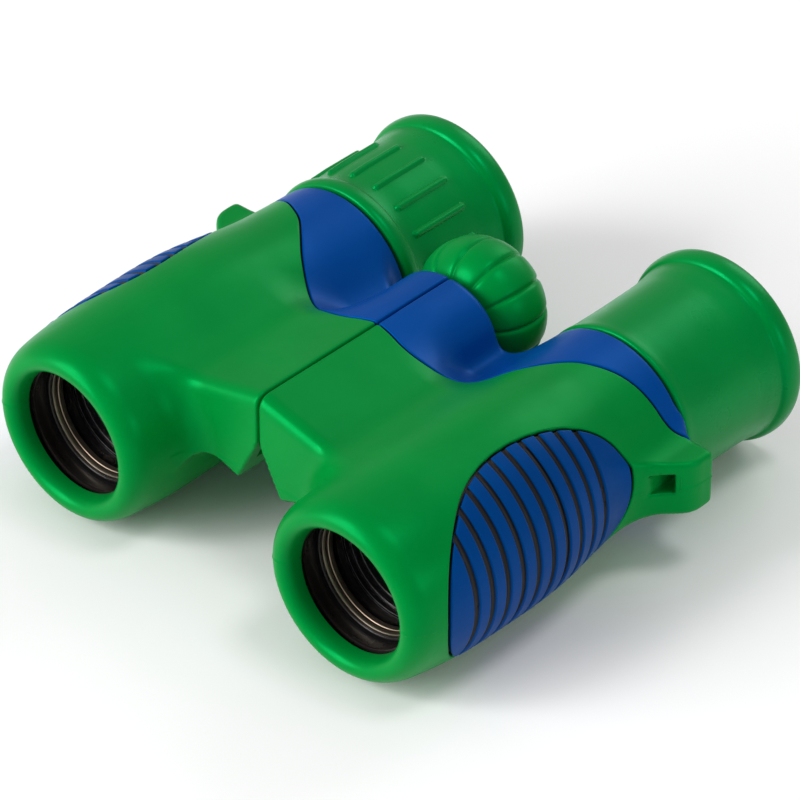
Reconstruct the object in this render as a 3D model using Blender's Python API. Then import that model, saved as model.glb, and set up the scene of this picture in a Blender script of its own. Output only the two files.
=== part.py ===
"""Compact roof-prism binoculars for children, built as separate pieces in their real places.

Run with: blender --background --python part.py
Lengths below are in millimetres and MM turns them into metres. A station s is the distance behind
the front rims, so s = 0 is the front of the object and s = LENGTH is the rear edge of the eyecups.
X is across the barrels (left barrel at +X), Y runs from the objectives to the eyecups, Z is up.
"""

import math

import bmesh
import bpy

MM = 0.001

# Overall sizes
LENGTH = 93.0
BARREL_X = 29.1          # half of the distance between the barrel axes
BARREL_Z = 16.8          # height of the barrel axes above the lowest point
HINGE_RISE = 6.3         # the hinge axis lies above the barrel axes
HINGE_Z = BARREL_Z + HINGE_RISE
GAP = 0.3                # clearance between neighbouring pieces
PIN_CLEARANCE = 0.08

# Covers: outer radius, sideways shift and upward shift of the barrel section along the stations
BARREL_SECTIONS = (
    (0.0, 13.6, 0.2, 0.0),
    (0.7, 14.8, 0.3, 0.0),
    (2.5, 15.6, 0.4, 0.0),
    (6.0, 16.1, 0.7, 0.0),
    (11.0, 16.6, 1.0, 0.0),
    (24.0, 16.9, 1.2, 0.1),
    (38.0, 17.0, 1.2, 0.2),
    (46.0, 16.7, 1.0, 0.2),
    (54.0, 16.1, 0.5, 0.1),
    (60.0, 15.7, 0.2, 0.0),
    (65.3, 15.4, 0.0, 0.0),
)
COVER_END = 65.3
COVER_WALL = 1.8
HOUSING_INSET = COVER_WALL + 0.5
LIP_RADIUS = 11.3
LIP_INNER = 3.0
BORE_START = 6.4

# Bridge between a barrel and the hinge plane
BRIDGE_FRONT = 15.8
BRIDGE_REAR = 60.0
SEAM_X = 0.15
SEAM_RISE = 15.5         # top of the centre seam above the barrel axes
TOP_SLOPE = 0.235
HUMP_HEIGHT = 9.3
HUMP_WIDTH = 10.4
HUMP_START = 43.0
VALLEY_RISE = 7.5
V_CORNER = (4.1, -1.3)   # lower corner of the gap under the hinge: x, height above the barrel axes
BOTTOM_SLOPE = 0.345

# Edge between the green cover and the rear cover: distance from the centre plane, station
COVER_EDGE = (
    (-1.0, 42.6),
    (5.0, 41.2),
    (12.0, 41.6),
    (17.0, 44.6),
    (23.0, 49.5),
    (29.0, 54.2),
    (35.0, 58.2),
    (40.0, 60.4),
    (43.5, 62.0),
    (44.6, 62.9),
    (54.0, 62.9),
)

# Strap lugs
LUG_OUTER_X = 51.0
LUG_PLAN = ((44.5, 52.0), (46.6, 53.2), (LUG_OUTER_X, 57.6), (LUG_OUTER_X, 62.5), (43.4, 62.5))
LUG_LOW = -3.9
LUG_HIGH = 5.5
SLOT_X = (46.2, 48.7)
SLOT_Z = (-0.8, 2.6)

# Grip pads
PAD_MIDDLE = 29.8
PAD_HALF_LENGTH = 21.5
PAD_HALF_ANGLE = math.radians(64.5)
PAD_POWER = 2.1
PAD_THICKNESS = 0.9
PAD_PROUD = 0.15
PAD_ROWS = (-0.985, -0.9, -0.7, -0.4, 0.0, 0.4, 0.7, 0.9, 0.985)

# Hinge and focus drive, all about the hinge axis
HINGE_ROOM = 5.4         # radius kept free for knuckles, carriage and nut
KNUCKLE_RADIUS = 4.4
LEFT_KNUCKLES = ((19.0, 22.5), (42.0, 46.0))
RIGHT_KNUCKLES = ((23.0, 26.7), (46.5, 50.5))
PIN_RADIUS = 1.5
SLEEVE_RADIUS = 3.0
SLEEVE_BORE = 2.2
SCREW_RADIUS = 2.0
CARRIAGE_FLANGE = 4.9
ARM_STATION = (32.3, 34.0)
ARM_X = (3.5, 22.9)
ARM_Z = (4.8, 7.8)
ARM_SCREW_X = 21.6
ARM_SCREW_Z = HINGE_RISE
WHEEL_MIDDLE = 67.4
WHEEL_RADIUS = 11.45
WHEEL_HALF_WIDTH = 7.2
WHEEL_POWER = 2.25
WHEEL_GROOVES = 12
WHEEL_GROOVE_DEPTH = 0.6

# Inside of each barrel
OBJECTIVE_BORE = 11.3
CELL_RADIUS = 11.15
PRISM_ROOM = 12.6
PRISM_START = 36.8
NECK_BORE = 12.0
NECK_END = 64.5
EYE_TUBE_RADIUS = 12.6
EYE_TUBE_END = 84.0

DIOPTRE_RIBS = 18
RIB_HEIGHT = 0.5
RIB_SPAN = (70.6, 82.5)

ROUND = 18
FINE = 24


# ---------------------------------------------------------------- materials

def material(name, color, roughness, metallic=0.0, alpha=1.0):
    found = bpy.data.materials.get(name)
    if found:
        return found
    made = bpy.data.materials.new(name)
    made.use_nodes = True
    shader = made.node_tree.nodes["Principled BSDF"]
    shader.inputs["Base Color"].default_value = (*color, 1.0)
    shader.inputs["Roughness"].default_value = roughness
    shader.inputs["Metallic"].default_value = metallic
    shader.inputs["Alpha"].default_value = alpha
    made.diffuse_color = (*color, alpha)
    return made


def green_cover():
    return material("green_cover", (0.0, 0.27, 0.045), 0.42)


def blue_cover():
    return material("blue_cover", (0.0, 0.075, 0.30), 0.42)


def green_rubber():
    return material("green_rubber", (0.0, 0.25, 0.05), 0.5)


def black_plastic():
    return material("black_plastic", (0.012, 0.012, 0.013), 0.45)


def lens_glass():
    return material("lens_glass", (0.75, 0.85, 0.9), 0.03, alpha=0.35)


def prism_glass():
    return material("prism_glass", (0.85, 0.9, 0.9), 0.05, alpha=0.35)


def steel():
    return material("steel", (0.55, 0.55, 0.56), 0.3, metallic=1.0)


def aluminium():
    return material("aluminium", (0.7, 0.7, 0.7), 0.35, metallic=1.0)


def brass():
    return material("brass", (0.7, 0.5, 0.2), 0.35, metallic=1.0)


def friction_plastic():
    return material("friction_plastic", (0.75, 0.74, 0.68), 0.5)


# ---------------------------------------------------------------- scene helpers

def station(s):
    """Y position in millimetres of a station behind the front rims."""
    return s - LENGTH / 2


def interpolate(table, value, column):
    """Straight-line reading of one column of a table whose rows start with a rising number."""
    if value <= table[0][0]:
        return table[0][column]
    for low, high in zip(table, table[1:]):
        if value <= high[0]:
            part = (value - low[0]) / (high[0] - low[0])
            return low[column] + part * (high[column] - low[column])
    return table[-1][column]


def smooth_step(part):
    part = min(1.0, max(0.0, part))
    return part * part * (3.0 - 2.0 * part)


def empty(name, x, y, z, parent=None):
    made = bpy.data.objects.new(name, None)
    made.empty_display_size = 5 * MM
    bpy.context.collection.objects.link(made)
    put(made, (x, y, z), parent)
    return made


def put(obj, origin, parent):
    """Sets an object's world place in millimetres, under its parent."""
    obj["origin_mm"] = origin
    base = parent["origin_mm"] if parent else (0.0, 0.0, 0.0)
    obj.parent = parent
    obj.location = [(o - b) * MM for o, b in zip(origin, base)]


def finish_mesh(bm, name, origin, parent, surface, smooth=35.0):
    """Makes an object from a bmesh in world millimetres, with its origin at the given place."""
    bmesh.ops.remove_doubles(bm, verts=bm.verts, dist=0.002)
    bmesh.ops.recalc_face_normals(bm, faces=bm.faces)
    for vert in bm.verts:
        vert.co = [(c - o) * MM for c, o in zip(vert.co, origin)]
    mesh = bpy.data.meshes.new(name)
    bm.to_mesh(mesh)
    bm.free()
    if surface:
        mesh.materials.append(surface)
    mesh.shade_smooth()
    mesh.set_sharp_from_angle(angle=math.radians(smooth))
    obj = bpy.data.objects.new(name, mesh)
    bpy.context.collection.objects.link(obj)
    put(obj, origin, parent)
    return obj


def boolean(obj, other, operation):
    """Adds an exact Boolean with a helper object, which is hidden from the render."""
    modifier = obj.modifiers.new(operation.lower() + "_" + other.name, "BOOLEAN")
    modifier.operation = operation
    modifier.solver = "EXACT"
    modifier.object = other
    other.hide_render = True
    other.display_type = "WIRE"


def cut(obj, *cutters):
    for cutter in cutters:
        boolean(obj, cutter, "DIFFERENCE")


def join(obj, *additions):
    for addition in additions:
        boolean(obj, addition, "UNION")


# ---------------------------------------------------------------- shape helpers

def turned(name, axis_point, profile, surface, parent=None, steps=ROUND):
    """Spins a closed outline of (radius, station) points about a line along Y."""
    ax, az = axis_point
    bm = bmesh.new()
    ring = [bm.verts.new((ax, station(s), az + r)) for r, s in profile]
    edges = [bm.edges.new(pair) for pair in zip(ring, ring[1:] + ring[:1])]
    bmesh.ops.spin(bm, geom=ring + edges, cent=(ax, 0, az), axis=(0, 1, 0), dvec=(0, 0, 0),
                   angle=2 * math.pi, steps=steps, use_merge=True)
    bmesh.ops.remove_doubles(bm, verts=bm.verts, dist=0.002)
    axis_edges = [e for e in bm.edges if not e.link_faces]
    bmesh.ops.delete(bm, geom=axis_edges, context="EDGES")
    return finish_mesh(bm, name, (ax, 0.0, az), parent, surface)


def plate(name, outline, low, high, plane, origin, surface, parent=None, bevel=0.0):
    """Extrudes a flat outline. Plane "xs" has (x, station) points and "sz" has (station, z) points."""
    bm = bmesh.new()
    if plane == "xs":
        verts = [bm.verts.new((x, station(s), low)) for x, s in outline]
        move = (0, 0, high - low)
    else:
        verts = [bm.verts.new((low, station(s), z)) for s, z in outline]
        move = (high - low, 0, 0)
    face = bm.faces.new(verts)
    made = bmesh.ops.extrude_face_region(bm, geom=[face])
    moved = [item for item in made["geom"] if isinstance(item, bmesh.types.BMVert)]
    bmesh.ops.translate(bm, verts=moved, vec=move)
    if bevel:
        bmesh.ops.bevel(bm, geom=bm.edges[:], offset=bevel, segments=2, profile=0.5, affect="EDGES")
    return finish_mesh(bm, name, origin, parent, surface)


def box(name, x, s, z, origin, surface=None, parent=None):
    corners = [(x[0], s[0]), (x[1], s[0]), (x[1], s[1]), (x[0], s[1])]
    return plate(name, corners, z[0], z[1], "xs", origin, surface, parent)


def hull(name, points, origin, surface, parent=None):
    """Convex solid around points given as (x, station, z)."""
    bm = bmesh.new()
    verts = [bm.verts.new((x, station(s), z)) for x, s, z in points]
    bmesh.ops.convex_hull(bm, input=verts)
    bmesh.ops.dissolve_limit(bm, angle_limit=0.001, verts=bm.verts, edges=bm.edges)
    return finish_mesh(bm, name, origin, parent, surface)


def lofted(name, rings, closed, origin, surface, parent=None, triangles=False):
    """Skins a chain of equal rings. A closed chain is a thick shell, an open one gets end caps.

    Two rings at one station that share their arc are joined by one flat face between the rest of
    their points. Twisted skins that have to nest are split into triangles the same way.
    """
    bm = bmesh.new()
    loops = [[bm.verts.new(point) for point in ring] for ring in rings]
    pairs = list(zip(loops, loops[1:]))
    if closed:
        pairs.append((loops[-1], loops[0]))
    for first, second in pairs:
        if (first[0].co - second[0].co).length < 1e-4:
            add_step_face(bm, first, second)
        else:
            add_band(bm, first, second, triangles)
    if not closed:
        bm.faces.new(loops[0])
        bm.faces.new(loops[-1])
    return finish_mesh(bm, name, origin, parent, surface)


def add_band(bm, first, second, triangles):
    count = len(first)
    for i in range(count):
        j = (i + 1) % count
        if triangles:
            bm.faces.new((first[i], first[j], second[j]))
            bm.faces.new((first[i], second[j], second[i]))
        else:
            bm.faces.new((first[i], first[j], second[j], second[i]))


def add_step_face(bm, first, second):
    """Flat face between two rings of one station, which differ only after their arc."""
    differ = [i for i, (a, b) in enumerate(zip(first, second)) if (a.co - b.co).length > 1e-4]
    start, end = differ[0], differ[-1]
    border = first[start - 1:end + 1] + [first[(end + 1) % len(first)]]
    bm.faces.new(border + [second[i] for i in reversed(differ)])


# ---------------------------------------------------------------- barrel and bridge section

ARC_POINTS = 14
TOP_POINTS = 3


def barrel_circle(s, inset):
    """Centre x, centre height above the barrel axis and radius of a barrel section."""
    radius = interpolate(BARREL_SECTIONS, s, 1) - inset
    return BARREL_X + interpolate(BARREL_SECTIONS, s, 2), interpolate(BARREL_SECTIONS, s, 3), radius


def top_height(x, s):
    """Height of the bridge's upper surface: a gentle slope in front, a hump and valleys behind."""
    front = SEAM_RISE - TOP_SLOPE * x
    reach = min(1.0, x / HUMP_WIDTH)
    rear = HINGE_RISE + HUMP_HEIGHT * (1.0 - reach ** 2.1) ** 0.48
    rear = max(VALLEY_RISE, rear)
    return front + (rear - front) * rear_blend(s)


def rear_blend(s):
    return smooth_step((s - HUMP_START) / (BRIDGE_REAR - HUMP_START))


def bottom_height(x, s):
    """Height of the bridge's lower surface, which levels off towards the rear."""
    return V_CORNER[1] + BOTTOM_SLOPE * (1.0 - rear_blend(s)) * (x - V_CORNER[0])


def meeting_angle(s, inset, height, drop):
    """Angle on the barrel circle, inner side, where a bridge line meets it."""
    cx, cz, radius = barrel_circle(s, inset)
    low, high = math.radians(95.0), math.radians(200.0)
    for _ in range(40):
        middle = (low + high) / 2
        x = cx + radius * math.cos(middle)
        above = cz + radius * math.sin(middle) > height(x) - drop
        low, high = (middle, high) if above else (low, middle)
    return (low + high) / 2


def section(s, inset, bridge, side, round_edge=0.0):
    """One ring of the half's outline at a station, in world millimetres.

    It runs over the barrel from the bridge's top line to its bottom line, and back along the
    bottom, up the gap's slope to the hinge axis, up the seam and out along the top.
    """
    cx, cz, radius = barrel_circle(s, inset)
    edge = inset + round_edge
    reach = min(max(s, BRIDGE_FRONT), BRIDGE_REAR)
    start = meeting_angle(reach, inset, lambda x: top_height(x, reach), edge)
    end = meeting_angle(reach, inset, lambda x: bottom_height(x, reach), -edge)
    sweep = start + 2 * math.pi - end
    points = []
    for i in range(ARC_POINTS):
        angle = start - sweep * i / (ARC_POINTS - 1)
        points.append((cx + radius * math.cos(angle), cz + radius * math.sin(angle)))
    inner = 4 + TOP_POINTS
    if bridge:
        points += bridge_points(points[-1], points[0], s, inset, edge)
    else:
        for i in range(1, inner + 1):
            angle = end - (end - start) * i / (inner + 1)
            points.append((cx + radius * math.cos(angle), cz + radius * math.sin(angle)))
    return [(side * x, station(s), BARREL_Z + z) for x, z in points]


def bridge_points(low_join, high_join, s, inset, edge):
    slope_x, slope_z = V_CORNER[0], V_CORNER[1] - HINGE_RISE
    length = math.hypot(slope_x, slope_z)
    across = (-slope_z / length, slope_x / length)
    wall = SEAM_X + inset
    lift = V_CORNER[1] + edge
    foot_x = across[0] * wall + slope_x * (HINGE_RISE - lift + across[1] * wall) / -slope_z
    apex_z = HINGE_RISE - wall * (1.0 - across[0]) / across[1]
    foot_z = bottom_height(foot_x, s) + edge
    middle_x = (low_join[0] + foot_x) / 2
    points = [(middle_x, bottom_height(middle_x, s) + edge), (foot_x, foot_z), (wall, apex_z)]
    points.append((wall, top_height(wall, s) - edge))
    for i in range(1, TOP_POINTS + 1):
        x = wall + (high_join[0] - wall) * i / (TOP_POINTS + 1)
        points.append((x, top_height(x, s) - edge))
    return points


def shell_rings(side):
    """Outer skin from front to rear, then the inner skin back to the front lip."""
    rings = [section(s, 0.0, False, side) for s in (0.0, 0.7, 2.5, 6.0, 11.0)]
    rings += [section(BRIDGE_FRONT, 0.0, bridge, side, round_edge=1.6) for bridge in (False, True)]
    rings.append(section(BRIDGE_FRONT + 0.6, 0.0, True, side, round_edge=0.5))
    rings += [section(s, 0.0, True, side) for s in (17.8, 28.0, 38.0, 43.0, 47.0, 51.0, 55.0, 58.6)]
    rings += [section(BRIDGE_REAR, 0.0, bridge, side, round_edge=0.8) for bridge in (True, False)]
    rings.append(section(COVER_END, 0.0, False, side))
    rings.append(section(COVER_END, COVER_WALL, False, side))
    rings += inner_rings(side, COVER_WALL, reversed)
    rings += [section(s, COVER_WALL, False, side) for s in (11.0, BORE_START)]
    rings += [lip_ring(s, r, side) for s, r in ((BORE_START, LIP_RADIUS), (LIP_INNER, LIP_RADIUS))]
    rings += [lip_ring(s, r, side) for s, r in ((1.2, 11.8), (0.2, 12.8))]
    return rings


def inner_rings(side, inset, order=list):
    """Rings around the bridge's hollow, from front to rear, at a depth below the outer skin."""
    front, rear = BRIDGE_FRONT + inset, BRIDGE_REAR - inset
    rings = [section(front, inset, bridge, side) for bridge in (False, True)]
    rings += [section(s, inset, True, side) for s in (38.0, 43.0, 48.0, 54.0)]
    rings += [section(rear, inset, bridge, side) for bridge in (True, False)]
    return list(order(rings))


def lip_ring(s, radius, side):
    """Round ring with the same point order as a section, for the mouth of the barrel."""
    points = []
    outline = section(s, 0.0, False, 1)
    cx, cz, _ = barrel_circle(s, 0.0)
    for x, _, z in outline:
        angle = math.atan2(z - BARREL_Z - cz, x - cx)
        px = BARREL_X + radius * math.cos(angle)
        points.append((side * px, station(s), BARREL_Z + radius * math.sin(angle)))
    return points


# ---------------------------------------------------------------- covers

def edge_region(name, side, rear):
    """Solid holding everything behind (or in front of) the edge between the two covers."""
    shift = GAP / 2 if rear else -GAP / 2
    far = COVER_END + 10 if rear else -10.0
    curve = [(side * x, interpolate(COVER_EDGE, x, 1) - shift) for x in edge_stations()]
    outline = curve + [(curve[-1][0], far), (curve[0][0], far)]
    return plate(name, outline, -10.0, 60.0, "xs", (side * BARREL_X, 0.0, BARREL_Z), None)


def edge_stations():
    """Distances from the centre plane at which the edge curve is sampled."""
    steps = [-1.0 + 2.25 * i for i in range(21)]
    return steps + [54.0]


def hinge_room(name):
    """Space about the hinge axis: wide for the knuckles, narrow where only the screw passes."""
    profile = [(0.0, 17.9), (HINGE_ROOM, 17.9), (HINGE_ROOM, 57.95), (2.7, 57.95), (2.7, 61.0), (0.0, 61.0)]
    return turned(name, (0.0, HINGE_Z), profile, None)


def pad_point(s, turn, lift, side, grow=0.0):
    """Point of the grip pad's surface; turn runs from -1 to 1 across the pad."""
    along = min(1.0, abs(s - PAD_MIDDLE) / (PAD_HALF_LENGTH + grow))
    width = PAD_HALF_ANGLE * (1.0 - along ** PAD_POWER) ** (1.0 / PAD_POWER)
    cx, cz, radius = barrel_circle(s, 0.0)
    angle = turn * (width + grow / radius)
    radius += lift
    x = cx + radius * math.cos(angle)
    return side * x, station(s), BARREL_Z + cz + radius * math.sin(angle)


def pad_solid(name, high, low, side, surface, parent, grow=0.0, columns=6):
    """Curved pad between two lifts off the barrel's outer skin."""
    turns = [-1.0 + 2.0 * i / columns for i in range(columns + 1)]
    rings = []
    for part in PAD_ROWS:
        s = PAD_MIDDLE + (PAD_HALF_LENGTH + grow) * part
        top = [pad_point(s, turn, high, side, grow) for turn in turns]
        under = [pad_point(s, turn, low, side, grow) for turn in reversed(turns)]
        rings.append(top + under)
    origin = (side * BARREL_X, 0.0, BARREL_Z)
    return lofted(name, rings, False, origin, surface, parent, triangles=True)


def grip_pad(side, label, parent):
    low = PAD_PROUD - PAD_THICKNESS
    return pad_solid(label + "_grip_pad", PAD_PROUD, low, side, blue_cover(), parent)


def pad_recess(side, label):
    floor = PAD_PROUD - PAD_THICKNESS - GAP
    return pad_solid(label + "_pad_recess", 2.0, floor, side, None, None, grow=GAP)


def strap_lug(side, label):
    outline = [(side * x, s) for x, s in LUG_PLAN]
    low, high = BARREL_Z + LUG_LOW, BARREL_Z + LUG_HIGH
    return plate(label + "_lug", outline, low, high, "xs", (side * BARREL_X, 0.0, BARREL_Z), None, bevel=0.9)


def strap_slot(side, label):
    x = [side * v for v in SLOT_X]
    z = [BARREL_Z + v for v in SLOT_Z]
    return box(label + "_strap_slot", x, (52.4, 66.0), z, (side * BARREL_X, 0.0, BARREL_Z))


def armour(side, label, parent):
    origin = (side * BARREL_X, 0.0, BARREL_Z)
    made = lofted(label + "_armour", shell_rings(side), True, origin, green_cover(), parent)
    join(made, strap_lug(side, label))
    cut(made, edge_region(label + "_behind_edge", side, True), hinge_room(label + "_armour_room"))
    cut(made, pad_recess(side, label), strap_slot(side, label))
    return made


def rear_cover(side, label, parent):
    origin = (side * BARREL_X, 0.0, BARREL_Z)
    made = lofted(label + "_rear_cover", shell_rings(side), True, origin, blue_cover(), parent)
    cut(made, edge_region(label + "_before_edge", side, False), hinge_room(label + "_cover_room"))
    return made


# ---------------------------------------------------------------- housing with hinge knuckles

def housing(side, label, parent):
    rings = [section(s, HOUSING_INSET, False, side) for s in (BORE_START + GAP, 11.0)]
    rings += inner_rings(side, HOUSING_INSET)
    rings.append(section(NECK_END, HOUSING_INSET, False, side))
    made = lofted(label + "_housing", rings, False, (side * BARREL_X, 0.0, BARREL_Z), black_plastic(), parent)
    cut(made, hinge_room(label + "_housing_room"))
    join(made, *knuckles(side, label))
    cut(made, barrel_bore(side, label), arm_slot(side, label))
    return made


def knuckles(side, label):
    """Two rings about the hinge axis, each with a web into the housing."""
    spans = LEFT_KNUCKLES if side > 0 else RIGHT_KNUCKLES
    bores = (PIN_RADIUS + PIN_CLEARANCE, SLEEVE_RADIUS + PIN_CLEARANCE)
    made = []
    for i, ((start, end), bore) in enumerate(zip(spans, bores)):
        outline = [(bore, start), (KNUCKLE_RADIUS, start), (KNUCKLE_RADIUS, end), (bore, end)]
        made.append(turned(f"{label}_knuckle_{i}", (0.0, HINGE_Z), outline, None))
        made.append(box(f"{label}_web_{i}", (side * 3.7, side * 7.8), (start + 0.25, end - 0.25),
                        (HINGE_Z - 2.1, HINGE_Z + 1.9), (side * BARREL_X, 0.0, BARREL_Z)))
    return made


def barrel_bore(side, label):
    profile = [(0.0, 5.0), (OBJECTIVE_BORE, 5.0), (OBJECTIVE_BORE, PRISM_START), (PRISM_ROOM, PRISM_START),
               (PRISM_ROOM, 57.0), (NECK_BORE, 57.0), (NECK_BORE, 66.0), (0.0, 66.0)]
    return turned(label + "_barrel_bore", (side * BARREL_X, BARREL_Z), profile, None)


def arm_slot(side, label):
    x = (side * 3.0, side * 21.5)
    z = (BARREL_Z + ARM_Z[0] - 0.6, BARREL_Z + ARM_Z[1] + 0.6)
    return box(label + "_arm_slot", x, (29.6, 35.6), z, (side * BARREL_X, 0.0, BARREL_Z))


# ---------------------------------------------------------------- objective group

def objective_cell(side, label, parent):
    profile = [(10.7, 9.8), (CELL_RADIUS, 9.8), (CELL_RADIUS, 32.0), (8.7, 32.0), (8.7, 24.0),
               (9.3, 24.0), (9.3, 17.0), (9.9, 17.0), (9.9, 14.3), (10.7, 14.3)]
    made = turned(label + "_objective_cell", (side * BARREL_X, BARREL_Z), profile, black_plastic(), parent)
    hole = [(0.0, 29.0), (0.75, 29.0), (0.75, 33.0), (0.0, 33.0)]
    place = (side * ARM_SCREW_X, BARREL_Z + ARM_SCREW_Z)
    cut(made, turned(label + "_cell_hole", place, hole, None, steps=12))
    return made


def lens_profile(radius, front, back, front_bulge, back_bulge, steps=4):
    """Half outline of a lens: edge stations at the rim and bulges at the axis."""
    points = []
    for i in range(steps + 1):
        r = radius * i / steps
        points.append((r, front - front_bulge * (1.0 - (r / radius) ** 2)))
    for i in range(steps, -1, -1):
        r = radius * i / steps
        points.append((r, back + back_bulge * (1.0 - (r / radius) ** 2)))
    return points


def objective_lens(side, label, parent):
    profile = lens_profile(10.55, 12.2, 14.1, 1.0, 0.4)
    return turned(label + "_objective_lens", (side * BARREL_X, BARREL_Z), profile, lens_glass(), parent)


def objective_ring(side, label, parent):
    profile = [(10.2, 10.2), (10.55, 10.2), (10.55, 12.0), (10.0, 12.0)]
    return turned(label + "_objective_ring", (side * BARREL_X, BARREL_Z), profile, aluminium(), parent)


def focus_arm(side, label, parent):
    x = [side * v for v in ARM_X]
    z = [BARREL_Z + v for v in ARM_Z]
    made = box(label + "_focus_arm", x, ARM_STATION, z, (side * BARREL_X, 0.0, BARREL_Z), steel(), parent)
    hole = [(0.0, 31.0), (0.75, 31.0), (0.75, 35.0), (0.0, 35.0)]
    place = (side * ARM_SCREW_X, BARREL_Z + ARM_SCREW_Z)
    cut(made, turned(label + "_arm_hole", place, hole, None, steps=12))
    return made


def arm_screw(side, label, parent):
    profile = [(0.0, 29.3), (0.6, 29.3), (0.6, 34.1), (1.1, 34.1), (1.1, 34.7), (0.0, 34.7)]
    place = (side * ARM_SCREW_X, BARREL_Z + ARM_SCREW_Z)
    return turned(label + "_arm_screw", place, profile, steel(), parent, steps=12)


# ---------------------------------------------------------------- prism group

def prism_holder(side, label, parent):
    plan = [(-8.4, 37.2), (8.4, 37.2), (8.4, 38.6), (6.6, 38.6), (6.6, 54.6), (5.2, 54.6), (5.2, 38.6),
            (-5.2, 38.6), (-5.2, 54.6), (-6.6, 54.6), (-6.6, 38.6), (-8.4, 38.6)]
    outline = [(side * BARREL_X + x, s) for x, s in plan]
    origin = (side * BARREL_X, 0.0, BARREL_Z)
    made = plate(label + "_prism_holder", outline, BARREL_Z - 8.6, BARREL_Z + 8.6, "xs", origin,
                 black_plastic(), parent)
    aperture = [(0.0, 36.0), (4.6, 36.0), (4.6, 39.5), (0.0, 39.5)]
    cut(made, turned(label + "_aperture", (side * BARREL_X, BARREL_Z), aperture, None, steps=16))
    return made


def half_penta_prism(side, label, parent):
    """First prism: square entry face, slanted gap face and a 22.5 degree mirror face below."""
    outline = ((39.2, 4.4), (39.2, -4.4), (46.5, -7.4), (49.6, -7.4), (50.4, -6.8))
    x = side * BARREL_X
    return plate(label + "_half_penta_prism", [(s, BARREL_Z + z) for s, z in outline], x - 4.7, x + 4.7, "sz",
                 (x, 0.0, BARREL_Z), prism_glass(), parent)


def roof_prism(side, label, parent):
    """Second prism: gap face, upright exit face and a roof ridge along the top."""
    x = side * BARREL_X
    points = []
    for across in (-4.7, 4.7):
        points += [(x + across, 40.6, BARREL_Z + 3.7), (x + across, 51.6, BARREL_Z - 7.3)]
        points += [(x + across, 53.6, BARREL_Z - 7.3), (x + across, 53.6, BARREL_Z + 5.0)]
    points += [(x, 40.2, BARREL_Z + 4.2), (x, 53.6, BARREL_Z + 8.6)]
    return hull(label + "_roof_prism", points, (x, 0.0, BARREL_Z), prism_glass(), parent)


def prism_clip(side, label, parent):
    x = side * BARREL_X
    corners = [(x - 7.6, 55.0), (x + 7.6, 55.0), (x + 7.6, 55.6), (x - 7.6, 55.6)]
    made = plate(label + "_prism_clip", corners, BARREL_Z - 8.4, BARREL_Z + 8.4, "xs", (x, 0.0, BARREL_Z),
                 steel(), parent)
    window = [(0.0, 54.0), (5.0, 54.0), (5.0, 57.0), (0.0, 57.0)]
    cut(made, turned(label + "_clip_window", (x, BARREL_Z), window, None, steps=16))
    return made


# ---------------------------------------------------------------- eyepiece group

def eyepiece_tube(side, label, parent):
    neck = NECK_BORE - 0.1
    profile = [(neck, 58.4), (neck, NECK_END + 1.4), (EYE_TUBE_RADIUS, NECK_END + 1.4),
               (EYE_TUBE_RADIUS, EYE_TUBE_END), (11.4, EYE_TUBE_END + 0.8), (10.2, EYE_TUBE_END + 0.8),
               (10.2, 77.6), (8.4, 77.6), (8.4, 69.4), (10.4, 69.4), (10.4, 58.4)]
    return turned(label + "_eyepiece_tube", (side * BARREL_X, BARREL_Z), profile, black_plastic(), parent)


def field_stop(side, label, parent):
    profile = [(6.4, 60.2), (10.3, 60.2), (10.3, 61.2), (6.9, 61.2)]
    return turned(label + "_field_stop", (side * BARREL_X, BARREL_Z), profile, black_plastic(), parent)


def field_lens(side, label, parent):
    profile = lens_profile(10.3, 64.6, 66.6, 1.4, 1.6, steps=3)
    return turned(label + "_field_lens", (side * BARREL_X, BARREL_Z), profile, lens_glass(), parent)


def eye_lens(side, label, parent):
    profile = lens_profile(10.1, 78.0, 81.4, 0.6, 1.2, steps=3)
    return turned(label + "_eye_lens", (side * BARREL_X, BARREL_Z), profile, lens_glass(), parent)


def eyepiece_ring(side, label, parent):
    profile = [(9.3, 81.6), (10.1, 81.6), (10.1, 83.8), (9.6, 83.8)]
    return turned(label + "_eyepiece_ring", (side * BARREL_X, BARREL_Z), profile, black_plastic(), parent)


def eyecup_outline(inner, waist):
    """Outer side from the front edge to the flared rim, then the flat rear face and the inside."""
    start = COVER_END + GAP
    outer = [(waist - 0.4, start), (waist, start + 0.6), (waist - 0.4, 72.0), (waist - 0.4, 79.0),
             (waist + 0.1, 84.0), (waist + 0.7, 88.3), (16.4, 90.0), (16.4, 92.0), (15.7, LENGTH)]
    inside = [(14.6, LENGTH), (13.3, 89.0), (12.95, 85.2), (12.95, EYE_TUBE_END - 0.6),
              (inner, EYE_TUBE_END - 0.6), (inner, start)]
    return outer + inside


def left_eyecup(parent):
    profile = eyecup_outline(EYE_TUBE_RADIUS + GAP, 15.0)
    return turned("left_eyecup", (BARREL_X, BARREL_Z), profile, green_rubber(), parent, steps=28)


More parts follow.
